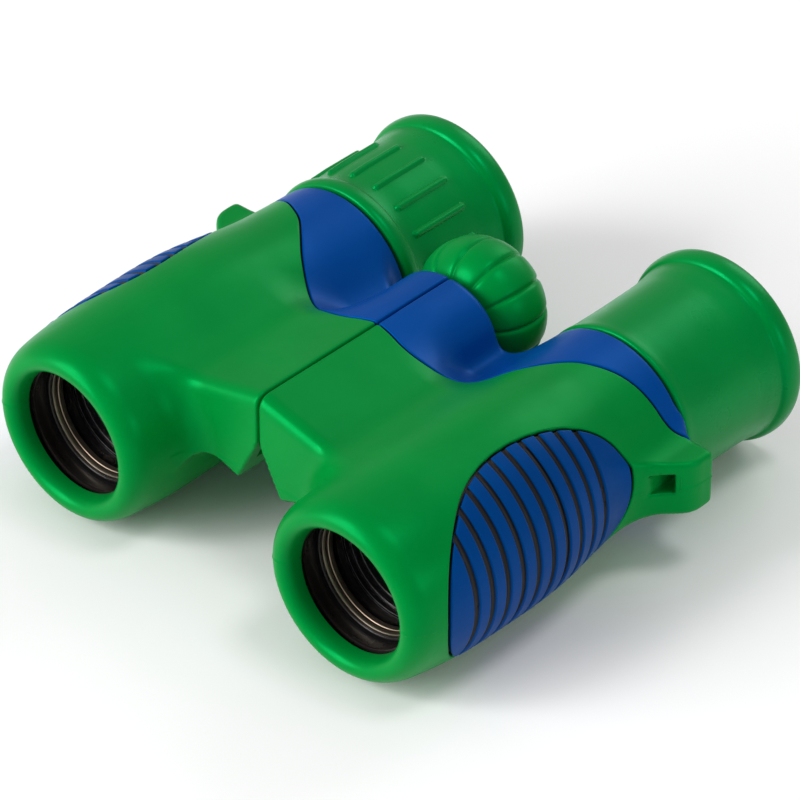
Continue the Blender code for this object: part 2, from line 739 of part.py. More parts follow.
def right_eyecup(parent):
    """Ribbed eyecup that is also the dioptre grip: every second point of the ribbed part stands out."""
    start = COVER_END + GAP
    plain = [(15.2, start), (15.6, start + 0.5), (15.6, 68.4), (15.2, 68.9), (15.2, RIB_SPAN[0])]
    ribbed = [(15.2 + RIB_HEIGHT, RIB_SPAN[0] + 0.3), (15.2 + RIB_HEIGHT, RIB_SPAN[1] - 0.3)]
    flare = [(15.3, RIB_SPAN[1]), (15.8, 88.3), (16.4, 90.0), (16.4, 92.0), (15.7, LENGTH)]
    inside = [(14.6, LENGTH), (12.95, 86.0), (12.95, EYE_TUBE_END - 0.6), (13.9, EYE_TUBE_END - 0.6)]
    rings = plain + ribbed + flare + inside + [(13.9, start)]
    steps = DIOPTRE_RIBS * 2
    loops = []
    for radius, s in rings:
        loop = []
        for i in range(steps):
            angle = 2 * math.pi * i / steps
            r = radius - (RIB_HEIGHT if (radius, s) in ribbed and i % 2 else 0.0)
            loop.append((-BARREL_X + r * math.cos(angle), station(s), BARREL_Z + r * math.sin(angle)))
        loops.append(loop)
    return lofted("right_eyecup", loops, True, (-BARREL_X, 0.0, BARREL_Z), green_rubber(), parent)


def dioptre_ring(parent):
    profile = [(EYE_TUBE_RADIUS + GAP, 66.6), (13.6, 66.6), (13.6, 83.0), (EYE_TUBE_RADIUS + GAP, 83.0)]
    return turned("right_dioptre_ring", (-BARREL_X, BARREL_Z), profile, black_plastic(), parent, steps=FINE)


# ---------------------------------------------------------------- hinge and focus drive

def hinge_pieces(parent):
    axis = (0.0, HINGE_Z)
    pin = [(0.0, 18.2), (2.4, 18.2), (2.4, 18.9), (PIN_RADIUS, 18.9), (PIN_RADIUS, 27.9), (0.0, 27.9)]
    turned("hinge_pin", axis, pin, steel(), parent)
    clip = [(PIN_RADIUS + 0.02, 26.9), (2.6, 26.9), (2.6, 27.4), (PIN_RADIUS + 0.02, 27.4)]
    turned("hinge_pin_clip", axis, clip, steel(), parent)
    front = [(PIN_RADIUS + 0.1, 22.6), (4.2, 22.6), (4.2, 22.9), (PIN_RADIUS + 0.1, 22.9)]
    turned("hinge_front_washer", axis, front, friction_plastic(), parent)
    rear = [(SLEEVE_RADIUS + 0.1, 46.1), (4.2, 46.1), (4.2, 46.4), (SLEEVE_RADIUS + 0.1, 46.4)]
    turned("hinge_rear_washer", axis, rear, friction_plastic(), parent)
    sleeve = [(SLEEVE_BORE, 41.3), (SLEEVE_RADIUS, 41.3), (SLEEVE_RADIUS, 56.0), (SLEEVE_BORE, 56.0)]
    turned("hinge_sleeve", axis, sleeve, steel(), parent)
    nut = [(SLEEVE_RADIUS + 0.05, 50.8), (4.4, 50.8), (4.4, 53.0), (SLEEVE_RADIUS + 0.05, 53.0)]
    turned("hinge_tension_nut", axis, nut, brass(), parent)


def focus_screw(parent):
    profile = [(0.0, 29.4), (SCREW_RADIUS - 0.3, 29.4), (SCREW_RADIUS, 29.8), (SCREW_RADIUS, 56.4),
               (SCREW_RADIUS, 71.0), (1.3, 71.0), (1.3, 65.0), (0.0, 65.0)]
    return turned("focus_screw", (0.0, HINGE_Z), profile, brass(), parent)


def focus_carriage(parent):
    bore = SCREW_RADIUS + PIN_CLEARANCE
    profile = [(bore, 30.9), (CARRIAGE_FLANGE, 30.9), (CARRIAGE_FLANGE, 32.1), (3.2, 32.1), (3.2, 34.2),
               (CARRIAGE_FLANGE, 34.2), (CARRIAGE_FLANGE, 35.4), (3.4, 35.4), (3.4, 39.8), (bore, 39.8)]
    return turned("focus_carriage", (0.0, HINGE_Z), profile, black_plastic(), parent)


def focus_wheel(parent):
    """Barrel-shaped wheel with lengthwise grooves, bored for the screw and recessed at the rear."""
    steps = WHEEL_GROOVES * 3
    rear = WHEEL_MIDDLE + WHEEL_HALF_WIDTH
    bore = SCREW_RADIUS + PIN_CLEARANCE
    outline = [wheel_point(t) for t in (-1.0, -0.9, -0.6, 0.0, 0.6, 0.9, 0.97)]
    outline += [(3.4, rear - 0.2), (3.4, rear - 1.9), (bore, rear - 1.9), (bore, rear - 2 * WHEEL_HALF_WIDTH)]
    loops = []
    for radius, s in outline:
        loop = []
        for i in range(steps):
            angle = 2 * math.pi * i / steps + math.pi / 2
            r = radius - (WHEEL_GROOVE_DEPTH if i % 3 == 0 and radius > WHEEL_RADIUS / 2 else 0.0)
            loop.append((r * math.cos(angle), station(s), HINGE_Z + r * math.sin(angle)))
        loops.append(loop)
    return lofted("focus_wheel", loops, True, (0.0, 0.0, HINGE_Z), green_rubber(), parent)


def wheel_point(t):
    """Radius and station of the wheel's outline at a fraction t of its half width."""
    radius = WHEEL_RADIUS * (1.0 - min(1.0, abs(t)) ** WHEEL_POWER) ** (1.0 / WHEEL_POWER)
    return max(radius, 3.0), WHEEL_MIDDLE + WHEEL_HALF_WIDTH * t


def wheel_screw(parent):
    head = WHEEL_MIDDLE + WHEEL_HALF_WIDTH - 1.7
    profile = [(0.0, 65.4), (1.2, 65.4), (1.2, head), (2.9, head), (2.9, head + 1.2), (0.0, head + 1.2)]
    return turned("wheel_screw", (0.0, HINGE_Z), profile, steel(), parent, steps=16)


# ---------------------------------------------------------------- assembly

def half(side, label, frame, cell_frame, eye_frame):
    """Every piece of one barrel, on its own half, its focusing cell or its eyepiece."""
    armour(side, label, frame)
    rear_cover(side, label, frame)
    grip_pad(side, label, frame)
    housing(side, label, frame)
    for piece in (prism_holder, half_penta_prism, roof_prism, prism_clip):
        piece(side, label, frame)
    for piece in (objective_cell, objective_lens, objective_ring, focus_arm, arm_screw):
        piece(side, label, cell_frame)
    for piece in (eyepiece_tube, field_stop, field_lens, eye_lens, eyepiece_ring):
        piece(side, label, eye_frame)


def build():
    for obj in list(bpy.data.objects):
        bpy.data.objects.remove(obj, do_unlink=True)
    left = empty("left_half", BARREL_X, 0.0, BARREL_Z)
    right = empty("fold_axis", 0.0, 0.0, HINGE_Z, left)
    drive = empty("focus_axis", 0.0, station(WHEEL_MIDDLE), HINGE_Z, left)
    carriage = empty("carriage_slide", 0.0, station(33.0), HINGE_Z, left)
    left_cell = empty("left_objective_slide", BARREL_X, station(20.0), BARREL_Z, left)
    right_cell = empty("right_objective_slide", -BARREL_X, station(20.0), BARREL_Z, right)
    dioptre = empty("dioptre_axis", -BARREL_X, station(75.0), BARREL_Z, right)
    right_eye = empty("right_eyepiece_slide", -BARREL_X, station(72.0), BARREL_Z, right)
    half(1, "left", left, left_cell, left)
    half(-1, "right", right, right_cell, right_eye)
    left_eyecup(left)
    right_eyecup(dioptre)
    dioptre_ring(dioptre)
    hinge_pieces(left)
    focus_screw(drive)
    focus_wheel(drive)
    wheel_screw(drive)
    focus_carriage(carriage)


build()
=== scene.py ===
"""Looks of the compact binoculars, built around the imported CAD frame.

Shapes are worked out in millimetres in barrel coordinates (x, s, z): x across the barrels with the
left barrel at +x, s the station behind the front rims, z the height above the barrel axes.
The covers are skins of one smooth implicit shape; they are cut along smooth edge curves into the
green cover, the rear cover and the grip pad. Everything else is turned. In the shapes the last number of
smooth_max and smooth_min is the reach of the rounding. Sizes in the materials and places on the stage are
in metres.
"""

import math

import bmesh
import bpy
import numpy as np
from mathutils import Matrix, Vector


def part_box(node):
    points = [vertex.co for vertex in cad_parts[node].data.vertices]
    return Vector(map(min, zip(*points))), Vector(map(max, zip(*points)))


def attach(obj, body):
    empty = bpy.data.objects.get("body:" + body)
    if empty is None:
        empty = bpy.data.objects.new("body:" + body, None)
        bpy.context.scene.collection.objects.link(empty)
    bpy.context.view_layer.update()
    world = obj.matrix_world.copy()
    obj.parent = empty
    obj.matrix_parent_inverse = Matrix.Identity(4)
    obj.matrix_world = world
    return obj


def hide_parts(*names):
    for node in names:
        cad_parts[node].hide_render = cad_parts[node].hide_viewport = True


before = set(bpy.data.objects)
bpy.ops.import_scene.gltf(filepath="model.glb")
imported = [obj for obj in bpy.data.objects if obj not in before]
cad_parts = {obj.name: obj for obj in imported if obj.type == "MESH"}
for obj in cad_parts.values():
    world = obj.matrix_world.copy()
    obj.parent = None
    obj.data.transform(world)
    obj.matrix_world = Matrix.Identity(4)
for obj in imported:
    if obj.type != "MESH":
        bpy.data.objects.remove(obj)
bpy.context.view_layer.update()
MM = 0.001


# ------------ places, read from the frame

def node_centre(node):
    low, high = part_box(node)
    return (low + high) / 2


BARREL_X = node_centre("left_eyecup").x / MM
BARREL_Z = node_centre("left_eyecup").z / MM
HINGE_Z = node_centre("hinge_sleeve").z / MM - BARREL_Z
FRONT_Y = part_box("left_armour")[0].y / MM
LUG_OUTER_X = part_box("left_armour")[1].x / MM


def span(node):
    """First and last station of a CAD node."""
    low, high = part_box(node)
    return low.y / MM - FRONT_Y, high.y / MM - FRONT_Y


def node_radius(node):
    low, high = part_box(node)
    return (high.z - low.z) / 2 / MM


def to_world(points):
    """Barrel coordinates in millimetres to the row frame in metres."""
    points = np.asarray(points, float)
    return np.stack([points[:, 0], points[:, 1] + FRONT_Y, points[:, 2] + BARREL_Z], 1) * MM


# ------------ implicit shape of one half

def curve(table, x):
    """Smooth curve through a table of (position, value) points."""
    xs, ys = np.array(table, float).T
    slopes = np.gradient(ys, xs)
    x = np.clip(x, xs[0], xs[-1])
    i = np.clip(np.searchsorted(xs, x) - 1, 0, len(xs) - 2)
    h = xs[i + 1] - xs[i]
    t = (x - xs[i]) / h
    a = 1 + t * t * (2 * t - 3)
    b = t * (1 - t) ** 2
    c = t * t * (t - 1)
    return ys[i] * a + h * slopes[i] * b + ys[i + 1] * (1 - a) + h * slopes[i + 1] * c


def smooth_max(a, b, k):
    h = np.clip(0.5 + 0.5 * (a - b) / k, 0.0, 1.0)
    return b + (a - b) * h + k * h * (1.0 - h)


def smooth_min(a, b, k):
    return -smooth_max(-a, -b, k)


def highest(first, *others):
    for other in others:
        first = np.maximum(first, other)
    return first


def smooth_step(t):
    t = np.clip(t, 0.0, 1.0)
    return t * t * (3.0 - 2.0 * t)


RIM_FRONT = 2.0
# barrels: (station, value) tables of the radius and of how far the axis moves outwards and upwards
BARREL_RADIUS = ((0, 15.0), (4, 15.4), (8, 15.9), (13, 16.35), (24, 16.6), (37, 16.45), (46, 15.6), (52, 15.1),
                 (60, 15.0), (66, 15.05))
BARREL_OUT = ((0, 0.0), (5, 0.35), (9, 0.6), (14, 0.8), (24, 1.1), (37, 1.1), (46, 0.7), (56, 0.3), (66, 0.0))
BARREL_UP = ((0, 0.0), (8, -0.1), (13, -0.2), (24, -0.15), (37, 0.0), (50, 0.1), (66, 0.0))
COVER_END = 65.3
MOUTH = (0.3, -0.2, 10.9, 9.0)  # opening in front of the lens: offset outwards, offset upwards, radius, depth
MOUTH_ROUNDING = 3.4
BARREL_FILLET = 5.5
BRIDGE_FRONT = 15.8
BRIDGE_REAR = 60.0
BRIDGE_OUTER_X = 26.0
SEAM_X = 0.15
SEAM_TOP = 15.5
TOP_SLOPE = 0.235
HUMP = (10.4, 9.2)  # half width and height of the rear hump about the hinge axis
HUMP_POWER = 2.1
HUMP_RISE = (39.0, 52.0)  # stations between which the hump and the valley grow out of the sloping top
VALLEY_Z = 6.2
V_CORNER = (4.3, -2.1)
BOTTOM_SLOPE = 0.345
LUG_INNER_X = 38.0
LUG_MIDDLE_Z = -0.2
LUG_HALF_HEIGHT = 4.9
LUG_SLANT = 59.0  # station where the slanting front would meet the outer face
LUG_REAR = 63.7
LUG_FILLET = 4.0
SLOT = (47.45, 1.25, 0.9, 1.7, 52.0)  # centre x, half width, centre z, half height, first station


def barrel_axis(s):
    return BARREL_X + curve(BARREL_OUT, s), curve(BARREL_UP, s)


def rear_blend(s):
    return smooth_step((s - HUMP_RISE[0]) / (HUMP_RISE[1] - HUMP_RISE[0]))


def barrel_field(x, s, z):
    cx, cz = barrel_axis(s)
    side = np.hypot(x - cx, z - cz) - curve(BARREL_RADIUS, s)
    side = smooth_max(side, RIM_FRONT - s, 4.6)
    return smooth_max(side, s - COVER_END, 0.8)


def bridge_field(x, s, z):
    """Sloping top in front, hump and valley behind, gap under the hinge, seam on the centre plane."""
    front_top = (z - SEAM_TOP + TOP_SLOPE * x) / math.hypot(1.0, TOP_SLOPE)
    wide, tall = HUMP
    hump = ((np.abs(x) / wide) ** HUMP_POWER + (np.abs(z - HINGE_Z) / tall) ** HUMP_POWER) ** (1 / HUMP_POWER)
    rear_top = smooth_min((hump - 1.0) * tall, z - VALLEY_Z, 3.5)
    blend = rear_blend(s)
    field = front_top + (rear_top - front_top) * blend
    field = smooth_max(field, BRIDGE_FRONT - s, 2.6)
    field = smooth_max(field, s - BRIDGE_REAR, 1.5)
    bottom = V_CORNER[1] + BOTTOM_SLOPE * (1.0 - blend) * (x - V_CORNER[0])
    field = smooth_max(field, bottom - z, 0.5)
    length = math.hypot(V_CORNER[0], V_CORNER[1] - HINGE_Z)
    slope = ((HINGE_Z - V_CORNER[1]) / length, V_CORNER[0] / length)
    gap_side = -x * slope[0] - (z - HINGE_Z) * slope[1] + SEAM_X
    field = smooth_max(field, gap_side, 0.5)
    field = smooth_max(field, x - BRIDGE_OUTER_X, 1.0)
    return smooth_max(field, SEAM_X - x, 0.6)


def lug_field(x, s, z):
    outer = x - LUG_OUTER_X
    slant = (x - LUG_OUTER_X - s + LUG_SLANT) * 0.707
    field = smooth_max(smooth_max(outer, slant, 1.4), s - LUG_REAR, 0.9)
    field = smooth_max(field, np.abs(z - LUG_MIDDLE_Z) - LUG_HALF_HEIGHT, 1.0)
    return smooth_max(field, LUG_INNER_X - x, 1.0)


def body_field(x, s, z):
    """Barrel and bridge joined with a wide fillet."""
    return smooth_min(barrel_field(x, s, z), bridge_field(x, s, z), BARREL_FILLET)


def half_field(x, s, z):
    """Signed size of one half's outer skin, negative inside."""
    field = smooth_min(body_field(x, s, z), lug_field(x, s, z), LUG_FILLET)
    slot = highest(np.abs(x - SLOT[0]) - SLOT[1], np.abs(z - SLOT[2]) - SLOT[3], SLOT[4] - s)
    field = smooth_max(field, -slot, 0.5)
    mouth = np.maximum(np.hypot(x - BARREL_X - MOUTH[0], z - MOUTH[1]) - MOUTH[2], s - MOUTH[3])
    return smooth_max(field, -mouth, MOUTH_ROUNDING)


# ------------ meshing of implicit shapes

def surface_net(field, low, high, step):
    """Vertices and triangles of the zero surface of a field inside a box."""
    axes = [np.arange(a, b + step, step) for a, b in zip(low, high)]
    grid = field(*np.meshgrid(*axes, indexing="ij"))
    inside = grid < 0
    corners = [(i, j, k) for i in (0, 1) for j in (0, 1) for k in (0, 1)]
    size = [n - 1 for n in grid.shape]

    def cells(array, c):
        return array[c[0]:c[0] + size[0], c[1]:c[1] + size[1], c[2]:c[2] + size[2]]

    total = sum(cells(inside, c).astype(np.int8) for c in corners)
    active = (total > 0) & (total < 8)
    where = np.argwhere(active)
    index = -np.ones(size, int)
    index[active] = np.arange(len(where))
    sums = np.zeros((len(where), 3))
    hits = np.zeros(len(where))
    for a in corners:
        for axis in range(3):
            if a[axis]:
                continue
            b = tuple(v + (n == axis) for n, v in enumerate(a))
            fa = cells(grid, a)[active]
            fb = cells(grid, b)[active]
            cross = (fa < 0) != (fb < 0)
            t = np.where(cross, fa / np.where(cross, fa - fb, 1.0), 0.0)
            point = where + np.array(a)
            offset = np.zeros((len(where), 3))
            offset[:, axis] = t
            sums += np.where(cross[:, None], point + offset, 0.0)
            hits += cross
    verts = np.array(low) + step * sums / hits[:, None]
    quads = []
    for axis in range(3):
        one, two = (axis + 1) % 3, (axis + 2) % 3
        shape = [slice(None)] * 3
        first, second = list(shape), list(shape)
        first[axis], second[axis] = slice(0, -1), slice(1, None)
        change = inside[tuple(first)].astype(np.int8) - inside[tuple(second)].astype(np.int8)
        spots = np.argwhere(change != 0)
        spots = spots[(spots[:, one] > 0) & (spots[:, two] > 0)]
        sign = change[tuple(spots.T)]

        def cell(d_one, d_two):
            moved = spots.copy()
            moved[:, one] -= d_one
            moved[:, two] -= d_two
            return index[tuple(moved.T)]

        loop = np.stack([cell(0, 0), cell(1, 0), cell(1, 1), cell(0, 1)], 1)
        quads.append(np.where(sign[:, None] > 0, loop, loop[:, ::-1]))
    quads = np.concatenate(quads)
    quads = quads[(quads >= 0).all(1)]
    short = np.linalg.norm(verts[quads[:, 0]] - verts[quads[:, 2]], axis=1)
    other = np.linalg.norm(verts[quads[:, 1]] - verts[quads[:, 3]], axis=1)
    swap = (short > other)[:, None]
    turned_quads = np.where(swap, np.roll(quads, -1, axis=1), quads)
    tris = np.concatenate([turned_quads[:, [0, 1, 2]], turned_quads[:, [0, 2, 3]]])
    return verts, tris


def gradient(field, points, reach=0.02):
    result = np.empty_like(points)
    for axis in range(3):
        ahead, behind = points.copy(), points.copy()
        ahead[:, axis] += reach
        behind[:, axis] -= reach
        result[:, axis] = (field(*ahead.T) - field(*behind.T)) / (2 * reach)
    return result


def settle(field, points, rounds=4, most=0.4):
    """Moves points onto the zero surface along the field's gradient."""
    for _ in range(rounds):
        slope = gradient(field, points)
        step = field(*points.T)[:, None] * slope / np.maximum((slope ** 2).sum(1), 0.05)[:, None]
        points = points - np.clip(step, -most, most)
    return points


def unit(vectors):
    return vectors / np.maximum(np.linalg.norm(vectors, axis=1), 1e-12)[:, None]


def split(verts, tris, values, level=0.0, snap=0.02):
    """Splits triangles along the line where the values cross a level. Returns the new mesh."""
    value = values - level
    value = np.where(np.abs(value) < snap, 0.0, value)
    sign = np.sign(value)
    edges = np.sort(np.concatenate([tris[:, [0, 1]], tris[:, [1, 2]], tris[:, [2, 0]]]), axis=1)
    key = edges[:, 0] * len(verts) + edges[:, 1]
    cross = sign[edges[:, 0]] * sign[edges[:, 1]] < 0
    unique, first = np.unique(key[cross], return_index=True)
    if not len(unique):
        return verts, tris
    ends = edges[cross][first]
    t = value[ends[:, 0]] / (value[ends[:, 0]] - value[ends[:, 1]])
    added = verts[ends[:, 0]] + t[:, None] * (verts[ends[:, 1]] - verts[ends[:, 0]])

    def middle(a, b):
        wanted = np.minimum(a, b) * len(verts) + np.maximum(a, b)
        return len(verts) + np.searchsorted(unique, wanted)

    ts = sign[tris]
    count = (ts[:, [0, 1, 2]] * ts[:, [1, 2, 0]] < 0).sum(1)
    result = [tris[count == 0]]
    for turn in range(3):
        order = [(turn + i) % 3 for i in range(3)]
        p, q, r = (tris[:, o] for o in order)
        sp, sq, sr = (ts[:, o] for o in order)
        lone = (sp * sq < 0) & (sp * sr < 0)
        a, b, c = p[lone], q[lone], r[lone]
        ab, ac = middle(a, b), middle(a, c)
        result += [np.stack([a, ab, ac], 1), np.stack([ab, b, c], 1), np.stack([ab, c, ac], 1)]
        through = (sp == 0) & (sq * sr < 0)
        a, b, c = p[through], q[through], r[through]
        bc = middle(b, c)
        result += [np.stack([a, b, bc], 1), np.stack([a, bc, c], 1)]
    return np.concatenate([verts, added]), np.concatenate(result)


def keep_side(verts, tris, measure, level=0.0):
    """Cuts a mesh along measure == level and keeps the side where the measure is larger."""
    verts, tris = split(verts, tris, measure(verts), level)
    middle = measure(verts[tris].mean(1))
    tris = tris[middle > level]
    used, flat = np.unique(tris, return_inverse=True)
    return verts[used], flat.reshape(-1, 3)


def thick(verts, tris, normals, wall):
    """Closed shell: the skin, the same skin moved in by the wall, and a band round every open edge."""
    count = len(verts)
    edges = np.concatenate([tris[:, [0, 1]], tris[:, [1, 2]], tris[:, [2, 0]]])
    key = edges[:, 0] * count + edges[:, 1]
    back = edges[:, 1] * count + edges[:, 0]
    border = edges[~np.isin(key, back)]
    a, b = border.T
    sides = np.concatenate([np.stack([b, a, a + count], 1), np.stack([b, a + count, b + count], 1)])
    all_verts = np.concatenate([verts, verts - normals * wall])
    return all_verts, np.concatenate([tris, tris[:, ::-1] + count, sides])


# ------------ Blender objects

def new_object(name, data):
    obj = bpy.data.objects.new(name, data)
    bpy.context.scene.collection.objects.link(obj)
    return obj


def add_object(name, verts, faces, surfaces, sharp=40.0, face_slots=None):
    mesh = bpy.data.meshes.new(name)
    mesh.from_pydata([tuple(v) for v in verts], [], [tuple(int(i) for i in f) for f in faces])
    for surface in surfaces:
        mesh.materials.append(surface)
    if face_slots is not None:
        mesh.polygons.foreach_set("material_index", np.asarray(face_slots, np.int32))
    mesh.shade_smooth()
    mesh.set_sharp_from_angle(angle=math.radians(sharp))
    return new_object(name, mesh)


def place(obj, body, slot, *nodes):
    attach(obj, body)
    if nodes:
        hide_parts(*nodes)
    return obj


def add_half_mesh(name, verts, tris, side, surfaces, sharp=40.0, face_slots=None, normals=None, drop=None):
    """Adds a mesh given for the left half, mirrored for the right one. The first points may have known
    normals, used where the skin isn't rolled over, and a drop, kept as the attribute "edge"."""
    verts = np.asarray(verts) * (side, 1.0, 1.0)
    tris = tris if side > 0 else tris[:, ::-1]
    obj = add_object(name, to_world(verts), tris, surfaces, sharp, face_slots)
    if normals is not None:
        known = np.zeros((len(verts), 3))
        known[:len(normals)] = np.where(drop[:, None] > 0, 0.0, normals * (side, 1.0, 1.0))
        edge = np.zeros(len(verts))
        edge[:len(drop)] = np.clip(drop / EDGE_RADIUS, 0.0, 1.0)
        obj.data.attributes.new("edge", "FLOAT", "POINT").data.foreach_set("value", edge.astype(np.float32))
        obj.data.normals_split_custom_set_from_vertices(known)
    return obj


# ------------ edge curves of the covers

COVER_EDGE = ((-2, 42.7), (0, 42.7), (3, 42.5), (6, 42.1), (9, 42.2), (12, 43.0), (14.5, 44.3), (17, 45.7),
              (20, 47.7), (23, 50.1), (26, 53.0), (29, 55.8), (32, 57.6), (35, 59.2), (38, 60.4), (41, 61.3),
              (44, 62.3), (46, 63.5), (48, 64.3), (54, 64.4))
LINE_GAP = 0.3
PAD_MIDDLE = 30.2
PAD_HALF_LENGTH = 21.1
PAD_HALF_ANGLE = math.radians(63.0)
PAD_TILT = ((8, 0.0), (15, 1.5), (20, 4.0), (27, 6.0), (39, 7.0), (44, 8.5), (48, 10.5), (52, 13.0))  # degrees
PAD_POWER = 2.08
PAD_GAP = 0.42
GROOVES = 10
FIRST_GROOVE = 14.5
GROOVE_PITCH = 3.35
GROOVE_HALF = 0.85
GROOVE_DEPTH = 0.7
GROOVE_ROWS = (1.0, 0.85, 0.72, 0.6, 0.5)  # in groove half widths, as the next two
GROOVE_PROFILE = ((0.0, 0.5, 0.6, 0.72, 0.85, 1.0), (1.0, 1.0, 0.45, 0.14, 0.03, 0.0))  # offset, share of depth
# share of each groove's width whose floor is painted black, painted shade in the grooves
GROOVE_SHADE_SHARE = 0.61
PAD_PROUD = 0.12
PAD_WALL = 0.55
HINGE_ROOM = 5.4
ROOM_SPAN = (18.1, 57.8)
SCREW_ROOM = 2.7
SCREW_FIRST = 56.0  # first station of the focus screw's opening
FRONT_OPENING = (12.2, 5.9)  # radius and first station
REAR_OPENING = (13.3, 60.0)  # radius and first station
SKIN_BOX = ((-0.6, -1.2, -18.6), (52.2, 66.6, 20.4))
COVER_WALL = 0.9


def edge_measure(points):
    """Distance in front of the edge between the green cover and the rear cover."""
    x, s, _ = points.T
    ahead = (curve(COVER_EDGE, x + 0.05) - curve(COVER_EDGE, x - 0.05)) / 0.1
    return (curve(COVER_EDGE, x) - s) / np.hypot(1.0, ahead)


def pad_number(x, s, z):
    cx, cz = barrel_axis(s)
    turn = (np.arctan2(z - cz, x - cx) - np.radians(curve(PAD_TILT, s))) / PAD_HALF_ANGLE
    return np.abs((s - PAD_MIDDLE) / PAD_HALF_LENGTH) ** PAD_POWER + np.abs(turn) ** PAD_POWER - 1.0


def pad_measure(points):
    """Distance outside the grip pad's outline, measured along the skin."""
    slope = gradient(pad_number, points)
    x, s, z = points.T
    cx, cz = barrel_axis(s)
    out = unit(np.stack([x - cx, np.zeros_like(x), z - cz], 1))
    slope = slope - (slope * out).sum(1)[:, None] * out
    return pad_number(x, s, z) / np.maximum(np.linalg.norm(slope, axis=1), 0.01)


def room_measure(points):
    """Positive outside the space for the hinge, and outside the barrel's front and rear openings."""
    x, s, z = points.T
    off_axis = np.hypot(x, z - HINGE_Z)
    half = (ROOM_SPAN[1] - ROOM_SPAN[0]) / 2
    room = np.maximum(off_axis - HINGE_ROOM, np.abs(s - ROOM_SPAN[0] - half) - half)
    screw = np.maximum(off_axis - SCREW_ROOM, SCREW_FIRST - s)
    off_barrel = np.hypot(x - BARREL_X, z)
    mouth = np.maximum(off_barrel - FRONT_OPENING[0], FRONT_OPENING[1] - s)
    rear = np.maximum(off_barrel - REAR_OPENING[0], REAR_OPENING[1] - s)
    return -highest(-room, -screw, -mouth, -rear)


EDGE_RADIUS = 0.26
EDGE_ROWS = (1.0, 0.6, 0.3, 0.1)  # distances from the cut, in edge radii, at which the skin has rows of points
ROW_SNAP = 0.006


def cover_skin():
    """Skin of one half as a fine triangle mesh, in barrel coordinates."""
    step = 0.5
    verts, tris = surface_net(half_field, *SKIN_BOX, step)
    verts = settle(half_field, verts)
    return keep_side(verts, tris, room_measure)


MOULD_LINE = (0.15, 0.08)  # half width and height of the line where the mould's two parts met
MOULD_LINE_X = 4.2  # where it ends, clear of the faces that close up when the halves fold
MOULD_WEAR = 0.25


def rolled(distance):
    """How far the skin sinks at a distance from a cut edge that is rolled over."""
    near = np.clip(distance, 0.0, EDGE_RADIUS)
    return EDGE_RADIUS - np.sqrt(np.maximum(EDGE_RADIUS ** 2 - (EDGE_RADIUS - near) ** 2, 0.0))


def cut_skin(skin, measures, heights=()):
    """The part of a skin where all measures are positive, with rows of points along the cuts and at some
    heights, and how far each point sinks where the cut edge is rolled over."""
    verts, tris = skin
    for measure in measures:
        verts, tris = keep_side(verts, tris, measure)
    for measure in measures:
        for row in EDGE_ROWS:
            verts, tris = split(verts, tris, measure(verts), EDGE_RADIUS * row, ROW_SNAP)
    for height in heights:
        verts, tris = split(verts, tris, verts[:, 2], height, ROW_SNAP)
    drop = np.zeros(len(verts))
    for measure in measures:
        drop = np.maximum(drop, rolled(measure(verts)))
    return verts, tris, drop


def green_side(points):
    return edge_measure(points) - LINE_GAP / 2


def blue_side(points):
    return -edge_measure(points) - LINE_GAP / 2


def outside_pad(points):
    return pad_measure(points) - PAD_GAP / 2


def inside_pad(points):
    return -pad_measure(points) - PAD_GAP / 2


def off_groove(stations):
    """Distance from the nearest groove of the grip pad."""
    return np.min([np.abs(stations - FIRST_GROOVE - g * GROOVE_PITCH) for g in range(GROOVES)], axis=0)


def add_covers(skin, side):
    prefix, body = ("left_", "left_half") if side > 0 else ("right_", "right_half")
    armour = keep_side(*skin, green_side)
    half, height = MOULD_LINE
    verts, tris, drop = cut_skin(armour, (green_side, outside_pad), (-half, 0.0, half))
    normals = unit(gradient(half_field, verts))
    line = np.clip(1.0 - np.abs(verts[:, 2]) / half, 0.0, 1.0) * smooth_step(verts[:, 0] - MOULD_LINE_X)
    verts, tris = thick(verts + normals * (line * height - drop)[:, None], tris, normals, COVER_WALL)
    place(add_half_mesh(prefix + "green_cover", verts, tris, side, [GREEN], normals=normals,
                        drop=np.maximum(drop, MOULD_WEAR * line * EDGE_RADIUS)),
          body, "green_cover", prefix + "armour")

    verts, tris, drop = cut_skin(skin, (blue_side,))
    normals = unit(gradient(half_field, verts))
    verts, tris = thick(verts - normals * drop[:, None], tris, normals, COVER_WALL)
    place(add_half_mesh(prefix + "blue_rear_cover", verts, tris, side, [BLUE], normals=normals, drop=drop),
          body, "blue_cover", prefix + "rear_cover")

    verts, tris, drop = cut_skin(keep_side(*skin, lambda p: -pad_measure(p)), (inside_pad,))
    for groove in range(GROOVES):
        at = FIRST_GROOVE + groove * GROOVE_PITCH
        for row in GROOVE_ROWS:
            for sign in (-1, 1):
                verts, tris = split(verts, tris, verts[:, 1] - at, sign * row * GROOVE_HALF, ROW_SNAP)
    depth = np.interp(off_groove(verts[:, 1]) / GROOVE_HALF, *GROOVE_PROFILE) * GROOVE_DEPTH
    drop = np.maximum(rolled(inside_pad(verts)), depth)
    normals = unit(gradient(half_field, verts))
    shell, faces = thick(verts + normals * (PAD_PROUD - drop)[:, None], tris, normals, PAD_WALL)
    # faces in the middle of each groove take the black material: painted shade in the grooves
    slots = np.zeros(len(faces), int)
    slots[:len(tris)] = off_groove(verts[tris].mean(1)[:, 1]) < GROOVE_HALF * GROOVE_SHADE_SHARE
    place(add_half_mesh(prefix + "grooved_grip_pad", shell, faces, side,
                        [PAD_BLUE, GROOVE_PAINTED_SHADE], face_slots=slots, normals=normals, drop=drop),
          body, "grip_rubber", prefix + "grip_pad")


# ------------ turned pieces

STEPS = 192


